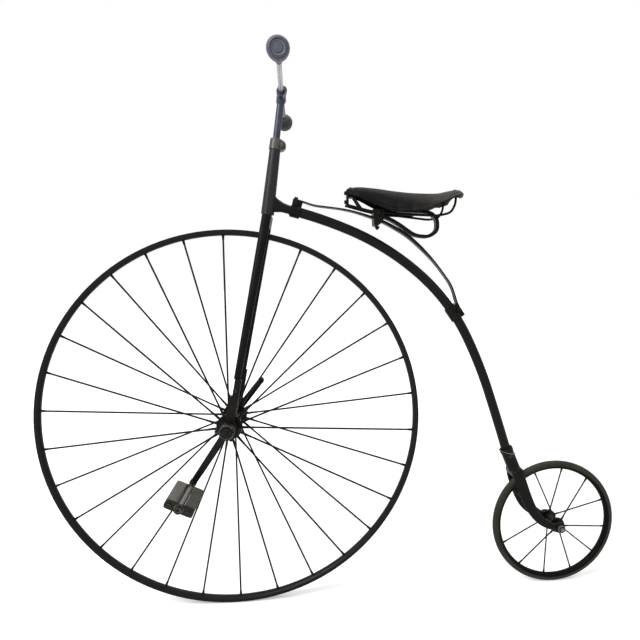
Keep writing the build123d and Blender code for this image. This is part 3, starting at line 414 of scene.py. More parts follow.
REAR_RIM_ENAMEL = worn_metal(
    "rear_rim_enamel_brown", (0.0018, 0.0016, 0.0013), (0.0036, 0.0031, 0.0024), (0.020, 0.018, 0.015),
    RUST, scale=34.0, specular=0.05, dust=0.01, wear=0.2)
SPOKE_STEEL = worn_metal(
    "spoke_wire_dark", (0.0050, 0.0048, 0.0046), (0.013, 0.0118, 0.0105), (0.10, 0.094, 0.088), RUST,
    metallic=0.35, roughness=(0.36, 0.52), rust_share=0.5, scale=60.0, dust=0.03, specular=0.08)
HUB_STEEL = worn_metal(
    "hub_steel_dark", (0.0050, 0.0047, 0.0044), (0.0150, 0.0132, 0.0112), (0.26, 0.24, 0.22), RUST,
    metallic=0.6, roughness=(0.28, 0.46), scale=55.0, edge=0.0012, wear=0.5, specular=0.12)
REAR_AXLE_STEEL = worn_metal(
    "rear_axle_steel_grey", (0.10, 0.098, 0.092), (0.19, 0.185, 0.17), (0.42, 0.41, 0.39), RUST,
    metallic=0.7, roughness=(0.28, 0.42), scale=70.0)
SPRING_STEEL = worn_metal(
    "spring_steel_black", (0.0046, 0.0045, 0.0044), (0.0095, 0.0086, 0.0076), (0.065, 0.060, 0.052),
    (0.020, 0.012, 0.008), metallic=0.1, scale=34.0, specular=0.07, wear=0.4)
# pale steel whose whiteness is partly painted highlight; its tone darkens to dark blue towards the far
# side, and that darkening is painted shade
BAR_STEEL = worn_metal(
    "bar_steel_pale_painted_highlight_and_shade", (0.30, 0.31, 0.33), (0.48, 0.49, 0.51), (0.62, 0.63, 0.64), (0.10, 0.085, 0.07),
    metallic=0.45, roughness=(0.26, 0.40), rust_share=0.15, scale=40.0, specular=0.4, wear=0.0,
    zoned=(to_far_side, -0.075, -0.02, (0.030, 0.033, 0.045)))
POST_STEEL = worn_metal(
    "post_steel_blue", (0.030, 0.034, 0.048), (0.055, 0.061, 0.082), (0.10, 0.10, 0.125),
    (0.030, 0.024, 0.022), metallic=0.35, roughness=(0.34, 0.48), scale=40.0, specular=0.2, wear=0.3)
COLLAR_STEEL = worn_metal(
    "pedal_steel_worn", (0.13, 0.125, 0.115), (0.24, 0.235, 0.22), (0.48, 0.46, 0.43),
    (0.06, 0.035, 0.02), metallic=0.6, roughness=(0.30, 0.46), rust_share=0.35, scale=60.0, specular=0.4)
PEDAL_FRAME_STEEL = worn_metal(
    "pedal_frame_steel", (0.0050, 0.0047, 0.0040), (0.012, 0.0105, 0.0085), (0.10, 0.092, 0.080), RUST,
    metallic=0.3, rust_share=0.4, scale=60.0, specular=0.2,
    zoned=(from_pedal_line, 0.0101, 0.0098, (0.22, 0.215, 0.20)))
PEDAL_NUT_STEEL = worn_metal(
    "pedal_plate_dark", (0.0060, 0.0056, 0.0048), (0.015, 0.0132, 0.0105), (0.12, 0.11, 0.095), RUST,
    metallic=0.4, roughness=(0.35, 0.5), rust_share=0.5, scale=60.0, specular=0.2)
SOCKET_PIN_STEEL = worn_metal(
    "socket_pin_rusty", (0.014, 0.009, 0.007), (0.026, 0.016, 0.012), (0.10, 0.065, 0.045), RUST,
    rust_share=0.6, scale=90.0, specular=0.2)

# each rubber: its two tones
SMOOTH_SKIN = {"cracks": 0.00006, "crack_tone": 0.92, "spots": 0.15}
GRIP_RUBBER = old_rubber(
    "grip_rubber_purple_grey", (0.048, 0.048, 0.068), (0.072, 0.072, 0.100),
    dust=0.06, roughness=0.44, scale=20.0, specular=0.35, **SMOOTH_SKIN)
GRIP_DISH_RUBBER = old_rubber(
    "grip_dish_pale", (0.090, 0.100, 0.122), (0.125, 0.140, 0.170),
    dust=0.06, roughness=0.5, scale=40.0, specular=0.35, **SMOOTH_SKIN)
GRIP_DISC_RUBBER = old_rubber(
    "grip_disc_blue_grey", (0.064, 0.076, 0.096), (0.086, 0.102, 0.128),
    dust=0.04, roughness=0.5, scale=40.0, specular=0.3, **SMOOTH_SKIN)
# painted shade: a darker copy of the grip rubber for the far grip, which stands in shadow
FAR_GRIP_SHADED_RUBBER = old_rubber(
    "far_grip_rubber_painted_shade", (0.0075, 0.0075, 0.0090), (0.016, 0.016, 0.019),
    dust=0.04, roughness=0.46, scale=20.0, specular=0.15, **SMOOTH_SKIN)
PEDAL_RUBBER = old_rubber(
    "pedal_rubber_grey", (0.032, 0.032, 0.028), (0.068, 0.066, 0.057),
    dust=0.30, roughness=0.62, scale=48.0, specular=0.2)
PALE_PEDAL_RUBBER = old_rubber(
    "pedal_rubber_pale", (0.085, 0.085, 0.076), (0.165, 0.162, 0.145),
    dust=0.35, roughness=0.62, scale=48.0, specular=0.2)
FRONT_TYRE_RUBBER = old_rubber(
    "front_tyre_rubber_black", (0.0034, 0.0034, 0.0033), (0.0070, 0.0067, 0.0062),
    dust=0.05, scale=22.0, specular=0.06)
REAR_TYRE_RUBBER = old_rubber(
    "rear_tyre_rubber_olive", (0.0100, 0.0098, 0.0068), (0.036, 0.0345, 0.0235),
    dust=0.10, roughness=0.46, scale=20.0, specular=0.16)
SADDLE_HIDE = saddle_hide_material()

# each finish and the nodes that wear it
FINISHES = (
    (BACKBONE_ENAMEL, "backbone", "neck"),
    (HEAD_ENAMEL, "head_tube"),
    (CLIP_ENAMEL, "head_clip"),
    (FORK_ENAMEL, "rear_socket", "rear_leg_left", "rear_leg_right", "rear_spring_clip"),
    (BLACK_ENAMEL, "fork_crown", "fork_blade_left", "fork_blade_right", "front_spring_clamp"),
    (BRACKET_ENAMEL, "fork_end_left", "fork_end_right"),
    (WHEEL_ENAMEL, "front_rim"),
    (REAR_RIM_ENAMEL, "rear_rim"),
    (SPOKE_STEEL, "front_spokes_left", "front_spokes_right", "rear_spokes_left", "rear_spokes_right"),
    (HUB_STEEL, "front_hub", "rear_hub", "front_axle", "crank_left", "crank_right", "pedal_pin"),
    (REAR_AXLE_STEEL, "rear_axle"),
    (SPRING_STEEL, "leaf_spring", "c_spring", "saddle_clamp", "saddle_bridge", "saddle_rail_left",
     "saddle_rail_right", "saddle_nose"),
    (BAR_STEEL, "handlebar"),
    (POST_STEEL, "handlebar_lug", "steering_post"),
    (GRIP_RUBBER, "grip_left"),
    (FAR_GRIP_SHADED_RUBBER, "grip_right"),
    (PEDAL_FRAME_STEEL, "pedal_frame"),
    (PALE_PEDAL_RUBBER, "pedal_block_front"),
    (PEDAL_RUBBER, "pedal_block_rear"),
    (FRONT_TYRE_RUBBER, "front_tyre"),
    (REAR_TYRE_RUBBER, "rear_tyre"),
    (SADDLE_HIDE, "saddle_leather"),
)
for material, *node_names in FINISHES:
    for node_name in node_names:
        for slot in frame["nodes"][node_name].material_slots:
            slot.material = material


# ---- mesh helpers


def added(name, data):
    """A new object in the scene."""
    made = bpy.data.objects.new(name, data)
    bpy.context.scene.collection.objects.link(made)
    return made


def any_normal(axis):
    """A unit vector square to an axis."""
    helper = Vector((0, 0, 1)) if abs(axis.z) < 0.9 else Vector((1, 0, 0))
    return axis.cross(helper).normalized()


class Shape:
    """Points and faces that are gathered into one piece."""

    def __init__(self):
        self.points = []
        self.faces = []

    def add(self, points, faces):
        first = len(self.points)
        self.points += [tuple(p) for p in points]
        self.faces += [tuple(first + i for i in face) for face in faces]

    def turned(self, profile, origin, axis, segments=40):
        """A profile of (radius, height) turned round an axis; its ends close at the axis."""
        origin, axis = Vector(origin), Vector(axis).normalized()
        first = any_normal(axis)
        second = axis.cross(first)
        points, faces, rings = [], [], []
        for radius, height in profile:
            middle = origin + axis * height
            if radius < 1e-7:
                rings.append([len(points)])
                points.append(middle)
                continue
            ring = []
            for i in range(segments):
                a = 2 * math.pi * i / segments
                ring.append(len(points))
                points.append(middle + first * (radius * math.cos(a)) + second * (radius * math.sin(a)))
            rings.append(ring)
        for low, high in zip(rings, rings[1:]):
            for i in range(segments):
                j = (i + 1) % segments
                if len(low) == 1 and len(high) > 1:
                    faces.append((low[0], high[j], high[i]))
                elif len(high) == 1 and len(low) > 1:
                    faces.append((low[i], low[j], high[0]))
                elif len(low) > 1:
                    faces.append((low[i], low[j], high[j], high[i]))
        self.add(points, faces)

    def hexagon(self, origin, axis, flats, thickness):
        """A nut or bolt head with a chamfered outer face."""
        radius = flats / math.sqrt(3)
        chamfer = [(radius, thickness * 0.8), (radius * 0.86, thickness)]
        self.turned([(0, 0), (radius, 0), *chamfer, (0, thickness)], origin, axis, 6)

    def dome(self, origin, axis, radius, height, segments=20):
        """A rivet head."""
        profile = [(0, 0), (radius, 0)]
        profile += [(radius * math.cos(a), height * math.sin(a)) for a in (0.4, 0.8, 1.2)]
        self.turned(profile + [(0, height)], origin, axis, segments)

    def bolt(self, origin, axis, flats, thickness, washer=0.0008, tip=0.0):
        """A washer, a hexagon and the end of the thread."""
        axis = Vector(axis).normalized()
        wide = flats * 0.66
        self.turned([(0, 0), (wide, 0), (wide, washer), (0, washer)], origin, axis, 28)
        self.hexagon(Vector(origin) + axis * washer, axis, flats, thickness)
        if tip:
            thread = flats * 0.3
            end = thickness + tip
            self.turned([(0, 0), (thread, 0), (thread, end - tip * 0.3), (thread * 0.7, end), (0, end)],
                        Vector(origin) + axis * washer, axis, 16)

    def piece(self, name, material, sharp=35.0):
        """The gathered faces as one object, smooth where they meet gently."""
        mesh = bpy.data.meshes.new(name)
        mesh.from_pydata(self.points, [], self.faces)
        mesh.validate()
        return finish_mesh(name, mesh, material, sharp)


def finish_mesh(name, mesh, material, sharp=35.0):
    """Turns the faces outwards, smooths them and makes the object."""
    loose = bmesh.new()
    loose.from_mesh(mesh)
    bmesh.ops.remove_doubles(loose, verts=loose.verts, dist=1e-7)
    bmesh.ops.recalc_face_normals(loose, faces=loose.faces)
    loose.to_mesh(mesh)
    loose.free()
    mesh.polygons.foreach_set("use_smooth", [True] * len(mesh.polygons))
    mesh.set_sharp_from_angle(angle=math.radians(sharp))
    mesh.materials.clear()
    mesh.materials.append(material)
    return added(name, mesh)


def place_piece(piece, body):
    """Hangs a piece on its body."""
    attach(piece, body)
    return piece


# ---- repeats made by Geometry Nodes


def new_geometry_tree(name, inputs):
    """An empty geometry tree with named inputs and the nodes for its ends."""
    tree = bpy.data.node_groups.new(name, "GeometryNodeTree")
    for title, kind in inputs.items():
        tree.interface.new_socket(name=title, in_out="INPUT", socket_type="NodeSocket" + kind)
    tree.interface.new_socket(name="Geometry", in_out="OUTPUT", socket_type="NodeSocketGeometry")
    return tree, add_node(tree, "NodeGroupInput"), add_node(tree, "NodeGroupOutput")


def end_tree(tree, given, result, instances):
    """Realizes the instances and gives them their finish."""
    real = add_node(tree, "GeometryNodeRealizeInstances", {"Geometry": instances})
    finished = add_node(tree, "GeometryNodeSetMaterial",
                        {"Geometry": real.outputs["Geometry"], "Material": given.outputs["Finish"]})
    tree.links.new(finished.outputs["Geometry"], result.inputs["Geometry"])


def build_spoke_ends():
    """A tapered sleeve on each spoke of one flange, at a distance from the spoke's foot."""
    tree, given, result = new_geometry_tree("spoke_sleeves", {
        "Count": "Int", "Phase": "Float", "Centre": "Vector", "Foot Radius": "Float", "Foot Side": "Float",
        "Tip Radius": "Float", "From Foot": "Float", "Length": "Float", "Low Radius": "Float",
        "High Radius": "Float", "Lost": "Int", "Finish": "Material"})
    ask = given.outputs
    index = add_node(tree, "GeometryNodeInputIndex").outputs["Index"]
    step = calculate(tree, "DIVIDE", 2 * math.pi, ask["Count"])
    angle = plus(tree, ask["Phase"], times(tree, index, step))
    outward = add_node(tree, "ShaderNodeCombineXYZ", {"X": calculate(tree, "COSINE", angle),
                                                      "Z": calculate(tree, "SINE", angle)}).outputs[0]
    aside = add_node(tree, "ShaderNodeCombineXYZ", {"Y": ask["Foot Side"]}).outputs[0]
    foot = vector_step(tree, "ADD", scaled(tree, outward, ask["Foot Radius"]), aside)
    run = vector_step(tree, "SUBTRACT", scaled(tree, outward, ask["Tip Radius"]), foot)
    heading = vector_step(tree, "NORMALIZE", run, (0, 0, 0))
    place = vector_step(tree, "ADD", foot, scaled(tree, heading, ask["From Foot"]))
    place = vector_step(tree, "ADD", place, ask["Centre"])
    cloud = add_node(tree, "GeometryNodePoints", {"Count": ask["Count"], "Position": place})
    turn = add_node(tree, "FunctionNodeAlignRotationToVector", {"Vector": heading}, axis="Z")
    sleeve = add_node(tree, "GeometryNodeMeshCone",
                      {"Vertices": 10, "Radius Top": ask["High Radius"], "Radius Bottom": ask["Low Radius"],
                       "Depth": ask["Length"]})
    kept = calculate(tree, "ABSOLUTE", calculate(tree, "SUBTRACT", index, ask["Lost"]))
    many = add_node(tree, "GeometryNodeInstanceOnPoints",
                    {"Points": cloud.outputs[0], "Instance": sleeve.outputs["Mesh"],
                     "Selection": calculate(tree, "GREATER_THAN", kept, 0.5),
                     "Rotation": turn.outputs["Rotation"]})
    end_tree(tree, given, result, many.outputs["Instances"])
    return tree


def made_plain(carrier):
    """The plain mesh that a carrier's modifiers make. The carrier goes."""
    bpy.context.view_layer.update()
    evaluated = carrier.evaluated_get(bpy.context.evaluated_depsgraph_get())
    mesh = bpy.data.meshes.new_from_object(evaluated)
    seed = carrier.data
    bpy.data.objects.remove(carrier)
    bpy.data.meshes.remove(seed)
    return mesh


def grown(tree, name, values):
    """Runs a geometry tree once and returns the plain mesh it makes."""
    carrier = added(name, bpy.data.meshes.new(name + "_seed"))
    modifier = carrier.modifiers.new("grow", "NODES")
    modifier.node_group = tree
    for item in tree.interface.items_tree:
        if item.item_type == "SOCKET" and item.in_out == "INPUT":
            modifier[item.identifier] = values[item.name]
    return made_plain(carrier)


def merged(name, meshes):
    """Several plain meshes as one, with points that coincide made one."""
    loose = bmesh.new()
    for mesh in meshes:
        loose.from_mesh(mesh)
    bmesh.ops.remove_doubles(loose, verts=loose.verts, dist=1e-6)
    whole = bpy.data.meshes.new(name)
    loose.to_mesh(whole)
    loose.free()
    return whole


# ---- wheels: sleeves at both ends of each spoke

SLEEVE_INSET = 0.001
NIPPLE_LENGTH = 0.012
NIPPLE_FROM_TIP = 0.011
SPOKE_SLEEVES = build_spoke_ends()


def wheel_sleeves(name, body, centre, count, phase, flange_y, flange_radius, rim_radius, wire, swell,
                  lost=-1):
    """Swollen spoke ends at the hub and nipples at the rim, for both flanges of a wheel.

    swell = (length, radius at the hub, radius at the far end); lost is the spoke that is missing.
    """
    length, wide, narrow = swell
    run = math.hypot(rim_radius - flange_radius, flange_y)
    hub_end = {"From Foot": -SLEEVE_INSET, "Length": length, "Low Radius": wide, "High Radius": narrow}
    rim_end = {"From Foot": run - NIPPLE_FROM_TIP, "Length": NIPPLE_LENGTH, "Low Radius": wire * 1.15,
               "High Radius": wire * 1.6}
    meshes = []
    for aside, first, gone in ((flange_y, phase, -1), (-flange_y, phase + math.pi / count, lost)):
        shared = {"Count": count, "Phase": first, "Centre": centre, "Foot Radius": flange_radius,
                  "Foot Side": aside, "Tip Radius": rim_radius, "Lost": gone, "Finish": SPOKE_STEEL}
        meshes += [grown(SPOKE_SLEEVES, name, {**shared, **end}) for end in (hub_end, rim_end)]
    place_piece(finish_mesh(name, merged(name, meshes), SPOKE_STEEL), body)
    bpy.data.batch_remove(meshes)


wheel_sleeves("front_spoke_sleeves", "front_wheel", FRONT_AXLE, count=15, phase=math.radians(6.8),
              flange_y=0.053, flange_radius=0.030, rim_radius=0.4430, wire=0.00215,
              swell=(0.028, 0.0033, 0.0023))
wheel_sleeves("rear_spoke_sleeves", "rear_wheel", REAR_AXLE, count=6, phase=math.radians(21.0),
              flange_y=0.023, flange_radius=0.019, rim_radius=0.1400, wire=0.0017,
              swell=(0.013, 0.0026, 0.0018), lost=2)


# ---- leather saddle

# back from the seat, half width, height of the top, height of the edge
HIDE_SECTIONS = np.array([(-156, 15, 12.5, -3.5), (-133, 27, 15, -11), (-95, 34, 12, -30),
                          (-47, 51, 5, -49), (0, 68, 0, -47), (50, 86, -2, -31), (84, 89, 3.5, -17),
                          (103, 66, 6, -10)]) / 1000
HIDE_THICKNESS = 0.0045
CANTLE_THICKNESS = 0.0135
CANTLE_ROLL = 0.026
SEAM_INSET = 0.0075
SEAM_WIDTH = 0.0011
SEAM_DEPTH = 0.0007
RIPPLE_HEIGHT = 0.0006
RIPPLE_PITCH = 190.0
RIPPLE_MIDDLE = -0.03
RIPPLE_REACH = 0.05
HIDE_SINK = 0.0008
HIDE_STATIONS = 96
HIDE_ACROSS = 84
BORDER_STEPS = 4
BORDER_BULGE = 0.85


def smooth_column(stations, values, wanted):
    """A curve through a table's column that doesn't swing past its values."""
    slopes = np.diff(values) / np.diff(stations)
    tangents = np.empty_like(values)
    tangents[0], tangents[-1] = slopes[0], slopes[-1]
    for i in range(1, len(values) - 1):
        same_way = slopes[i - 1] * slopes[i] > 0
        tangents[i] = 2 * slopes[i - 1] * slopes[i] / (slopes[i - 1] + slopes[i]) if same_way else 0.0
    place = np.clip(np.searchsorted(stations, wanted) - 1, 0, len(slopes) - 1)
    width = stations[place + 1] - stations[place]
    t = (wanted - stations[place]) / width
    settled = t * t * (3 - 2 * t)
    leaving = tangents[place] * width * t * (t - 1) ** 2
    reaching = tangents[place + 1] * width * t * t * (t - 1)
    return values[place] * (1 - settled) + values[place + 1] * settled + leaving + reaching


def hide_point(half, top, edge, share):
    """A point of the arched section, share -1 at the left edge to 1 at the right."""
    rise = max(top - edge, 1e-4)
    radius = (half * half + rise * rise) / (2 * rise)
    reach = math.atan2(half, radius - rise)
    a = share * reach
    return radius * math.sin(a), top - radius + radius * math.cos(a)


def saddle_hide():
    """The hide as a thick shell, fuller at the cantle, with a creased line inside its edge."""
    stations = HIDE_SECTIONS[:, 0]
    t = np.linspace(0, 1, HIDE_STATIONS)
    wanted = stations[0] + (stations[-1] - stations[0]) * (t - 0.045 * np.sin(2 * np.pi * t))
    columns = np.array([smooth_column(stations, HIDE_SECTIONS[:, k], wanted) for k in (1, 2, 3)])
    shares = np.linspace(-1, 1, HIDE_ACROSS + 1)
    shares = shares + 0.07 * np.sin(np.pi * shares)
    outer = np.array([[(x, *hide_point(*columns[:, i], share)) for share in shares]
                      for i, x in enumerate(wanted)])
    normal = np.cross(np.gradient(outer, axis=0), np.gradient(outer, axis=1))
    normal /= np.linalg.norm(normal, axis=2)[:, :, None]
    normal *= np.sign(normal[:, HIDE_ACROSS // 2, 2])[:, None, None]
    back, side = outer[:, :, 0], outer[:, :, 1]
    groove = np.exp(-((edge_distance(outer) - SEAM_INSET) / SEAM_WIDTH) ** 2) * SEAM_DEPTH
    ripple = RIPPLE_HEIGHT * np.sin(back * RIPPLE_PITCH + 2.0 * np.sign(side))
    ripple *= np.clip((np.abs(shares)[None, :] - 0.45) * 2, 0, 1)
    ripple *= np.exp(-((back - RIPPLE_MIDDLE) / RIPPLE_REACH) ** 2)
    rear = np.sin(np.clip((back - (stations[-1] - CANTLE_ROLL)) / CANTLE_ROLL, 0, 1) * np.pi / 2)
    shaped = outer - normal * (groove + HIDE_SINK + np.abs(ripple) + ripple)[:, :, None]
    thickness = HIDE_THICKNESS - HIDE_SINK + (CANTLE_THICKNESS - HIDE_THICKNESS) * rear
    inner = shaped - normal * thickness[:, :, None]
    return close_shell(shaped, inner)


def edge_distance(grid):
    """How far each point lies from the nearest border of the grid."""
    across = np.linalg.norm(np.diff(grid, axis=1), axis=2)
    left = np.concatenate([np.zeros((grid.shape[0], 1)), np.cumsum(across, axis=1)], axis=1)
    right = left[:, -1:] - left
    lengthwise = np.linalg.norm(np.diff(grid, axis=0), axis=2)
    front = np.concatenate([np.zeros((1, grid.shape[1])), np.cumsum(lengthwise, axis=0)], axis=0)
    back = front[-1:, :] - front
    return np.minimum(np.minimum(left, right), np.minimum(front, back))


def close_shell(outer, inner):
    """Joins an outer and an inner grid by a rounded border."""
    rows, columns = outer.shape[:2]
    border = [(0, k) for k in range(columns)] + [(i, columns - 1) for i in range(1, rows)]
    border += [(rows - 1, k) for k in range(columns - 2, -1, -1)] + [(i, 0) for i in range(rows - 2, 0, -1)]
    points = [tuple(p) for p in outer.reshape(-1, 3)] + [tuple(p) for p in inner.reshape(-1, 3)]
    size = rows * columns
    faces = []
    for i in range(rows - 1):
        for k in range(columns - 1):
            a, b = i * columns + k, i * columns + k + 1
            c, d = (i + 1) * columns + k + 1, (i + 1) * columns + k
            faces.append((a, b, c, d))
            faces.append((size + d, size + c, size + b, size + a))
    rings = [[i * columns + k for i, k in border]]
    outward_of = {}
    for i, k in border:
        inside = (min(max(i, 1), rows - 2), min(max(k, 1), columns - 2))
        outward = outer[i, k] - outer[inside]
        length = np.linalg.norm(outward)
        outward_of[(i, k)] = outward / length if length > 1e-9 else np.zeros(3)
    for step in range(1, BORDER_STEPS):
        a = math.pi * step / BORDER_STEPS
        ring = []
        for i, k in border:
            high, low = outer[i, k], inner[i, k]
            middle = (high + low) / 2
            bulge = outward_of[(i, k)] * np.linalg.norm(high - low) / 2 * BORDER_BULGE * math.sin(a)
            ring.append(len(points))
            points.append(tuple(middle + (high - middle) * math.cos(a) + bulge))
        rings.append(ring)
    rings.append([size + i * columns + k for i, k in border])
    for upper, lower in zip(rings, rings[1:]):
        for k in range(len(border)):
            m = (k + 1) % len(border)
            faces.append((upper[k], lower[k], lower[m], upper[m]))
    shell = Shape()
    shell.add(points, faces)
    return shell


hide = saddle_hide().piece("saddle_hide", SADDLE_HIDE, 60.0)
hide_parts("saddle_leather")
place_piece(hide, "frame")


def hide_surface(x, share):
    """A point on the hide's upper face and its outward direction."""
    half, top, edge = (smooth_column(HIDE_SECTIONS[:, 0], HIDE_SECTIONS[:, k], np.array([x]))[0]
                       for k in (1, 2, 3))
    rise = max(top - edge, 1e-4)
    radius = (half * half + rise * rise) / (2 * rise)
    place = Vector((x, *hide_point(half, top, edge, share)))
    return place, (place - Vector((x, 0, top - radius))).normalized()


RIVET_RADIUS = 0.0042
RIVET_HEIGHT = 0.0022
RIVET_SINK = 0.0012
rivets = Shape()
# back from the seat, share of the way to the edge
for back, share in ((-0.150, 0.0), (-0.146, -0.55), (-0.146, 0.55), (0.094, 0.0),
                    (0.092, -0.42), (0.092, 0.42), (0.086, -0.76), (0.086, 0.76)):
    spot, outward = hide_surface(back, share)
    rivets.dome(spot - outward * RIVET_SINK, outward, RIVET_RADIUS, RIVET_HEIGHT)
place_piece(rivets.piece("saddle_rivets", HUB_STEEL, 50.0), "frame")


# ---- grips


GRIP_DROOP = math.radians(17.0)
GRIP_LINE = (0.00145, 0.256, 0.0099)  # the near and far ends of the bar, mirrored across the machine
GRIP_SHORTER = 0.0032  # room for the drooped head inside the grip's own length
GRIP_NECK = 0.0066
GRIP_STATIONS = 28
LIP_STATIONS = 9
DISH_DEPTH = 0.0034


def drooped(shape, start, axis, middle, side_sign):
    """Bends a turned grip so that its head looks down and out, with its neck still on the bar."""
    reach = (middle - start).length
    for i, point in enumerate(shape.points):
        along = (Vector(point) - start).dot(axis)
        share = min(max(along / reach, 0.0), 1.0)
        turn = Matrix.Rotation(-GRIP_DROOP * side_sign * share * share, 3, "X")
        hinge = start + axis * min(along, reach)
        shape.points[i] = tuple(hinge + turn @ (Vector(point) - hinge))


def turned_grip(side_sign, node_name, rubber, dish_rubber, disc_rubber):
    """A pear grip with a plain neck, a dish in its end and a disc in the dish."""
    low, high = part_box(node_name)
    radius = (high.x - low.x) / 2
    axis = Vector((GRIP_LINE[0], GRIP_LINE[1] * side_sign, GRIP_LINE[2])).normalized()
    total = (high.y - low.y) / abs(axis.y)
    outer_y = high.y if side_sign > 0 else low.y
    start = Vector(((low.x + high.x) / 2, outer_y, high.z - radius)) - axis * total
    total -= GRIP_SHORTER
    widest = total - radius * 0.75
    rim = total - 0.0006
    floor = rim - DISH_DEPTH
    lip = radius * 0.68
    profile = [(0, 0), (GRIP_NECK - 0.0006, 0), (GRIP_NECK, 0.0008)]
    for i in range(1, GRIP_STATIONS + 1):
        t = i / GRIP_STATIONS
        swell = 0.62 * t * t * (3 - 2 * t) + 0.38 * t
        profile.append((GRIP_NECK + (radius - GRIP_NECK) * swell, 0.0008 + (widest - 0.0008) * t))
    for i in range(1, LIP_STATIONS + 1):
        a = math.pi / 2 * i / LIP_STATIONS
        profile.append((lip + (radius - lip) * math.cos(a), widest + (rim - widest) * math.sin(a)))
    profile += [(radius * 0.65, rim - 0.0003), (radius * 0.635, rim - 0.0009),
                (radius * 0.62, floor - 0.0008), (0, floor - 0.0008)]
    dish = [(0, floor - 0.0004), (radius * 0.618, floor - 0.0004), (radius * 0.622, floor + 0.0016),
            (radius * 0.60, floor + 0.0018), (radius * 0.46, floor + 0.0004), (0, floor + 0.0002)]
    disc = [(0, floor), (radius * 0.42, floor), (radius * 0.425, floor + 0.0012),
            (radius * 0.40, floor + 0.0019), (0, floor + 0.0023)]
    parts = (("_pear", profile, rubber, 50.0), ("_dish", dish, dish_rubber, 40.0),
             ("_disc", disc, disc_rubber, 40.0))
    for part, outline, material, sharp in parts:
        shape = Shape()
        shape.turned(outline, start, axis, 64)
        drooped(shape, start, axis, start + axis * widest, side_sign)
        made = shape.piece(node_name + part, material, sharp)
        if part == "_pear":
            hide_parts(node_name)
        place_piece(made, "steering")


turned_grip(NEAR, "grip_left", GRIP_RUBBER, GRIP_DISH_RUBBER, GRIP_DISC_RUBBER)
# the far grip's pear and dish wear the darker copy of the grip rubber: painted shade
turned_grip(FAR, "grip_right", FAR_GRIP_SHADED_RUBBER, FAR_GRIP_SHADED_RUBBER, GRIP_RUBBER)


# ---- rear fork: the socket, the crown and the legs as one forging


def softened(name, node_names, material, voxel, rounds):
    """The CAD nodes' outsides joined in one skin, with their corners drawn soft as a smith leaves them."""
    carrier = added(name, merged(name, [frame["nodes"][node_name].data for node_name in node_names]))
    remesh = carrier.modifiers.new("one_skin", "REMESH")
    remesh.mode = "VOXEL"
    remesh.voxel_size = voxel
    smooth = carrier.modifiers.new("drawn_soft", "SMOOTH")
    smooth.factor = 0.5
    smooth.iterations = rounds
    made = finish_mesh(name, made_plain(carrier), material, 60.0)
    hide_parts(*node_names)
    return made


post_casting = softened("bar_lug_and_post", ["handlebar_lug", "steering_post"], POST_STEEL, 0.0012, 16)
place_piece(post_casting, "steering")
fork_forging = softened("rear_fork_forging", ["rear_socket", "rear_leg_left", "rear_leg_right"],
                        FORK_ENAMEL, 0.0014, 28)
place_piece(fork_forging, "frame")

SOCKET_TOP = Vector((0.23548, 0, -0.63523))
SOCKET_END = Vector((0.25805, 0, -0.69082))
SOCKET_LINE = (SOCKET_END - SOCKET_TOP).normalized()
COLLAR_DOWN = 0.0125
COLLAR_SLANT = 0.72
SOCKET_PIN_DOWN = 0.0215
SOCKET_PIN_SIDE = 0.0148

collar_edge = SOCKET_TOP + SOCKET_LINE * COLLAR_DOWN
collar = Shape()
collar.turned([(0.0140, -0.0008), (0.0168, -0.0008), (0.0175, -0.0003), (0.0175, 0.0005), (0.0168, 0.0012),
               (0.0140, 0.0012), (0.0140, -0.0008)], collar_edge, SOCKET_LINE, 56)
rearward = SOCKET_LINE.cross(ACROSS)
rearward *= math.copysign(1, rearward.x)
collar.points = [tuple(Vector(p) + SOCKET_LINE * (COLLAR_SLANT * (Vector(p) - collar_edge).dot(rearward)))
                 for p in collar.points]
place_piece(collar.piece("socket_collar_ring", COLLAR_STEEL), "frame")

pin = Shape()
for sign in SIDES:
    spot = SOCKET_TOP + SOCKET_LINE * SOCKET_PIN_DOWN + ACROSS * (sign * SOCKET_PIN_SIDE)
    pin.turned([(0, 0), (0.0046, 0), (0.0050, 0.0008), (0.0046, 0.0022), (0.0028, 0.0034), (0, 0.0038)],
               spot, ACROSS * sign, 24)
place_piece(pin.piece("socket_pin_knobs", SOCKET_PIN_STEEL, 50.0), "frame")


# ---- bolts, nuts and other small steel on the frame and the steering


def bolt_pair(shape, middle, side, flats, thickness, near_tip=0.0, far_tip=0.0, washer=0.0008):
    """A head and a nut, each as far to its side of the machine."""
    for sign, tip in ((NEAR, near_tip), (FAR, far_tip)):
        shape.bolt(middle + ACROSS * (sign * side), ACROSS * sign, flats, thickness, washer, tip)


CLIP_UP = 0.179  # along the head from the middle of the crown, as the bar's top is
BAR_TOP_UP = 0.309
CLIP_FORWARD = 0.0145
BLADE_TOP_UP = 0.0148  # along the fork
BLADE_TOP_SIDE = 0.034
BRACKET_BOLT_UP = 0.090
OILER_FORWARD = 0.0195

head_steel = Shape()
clip_bolt = CROWN + HEAD_LINE * CLIP_UP - HEAD_LINE.cross(ACROSS) * CLIP_FORWARD
bolt_pair(head_steel, clip_bolt, 0.009, 0.010, 0.0045, far_tip=0.002)
place_piece(head_steel.piece("head_clip_bolt", CLIP_ENAMEL), "frame")

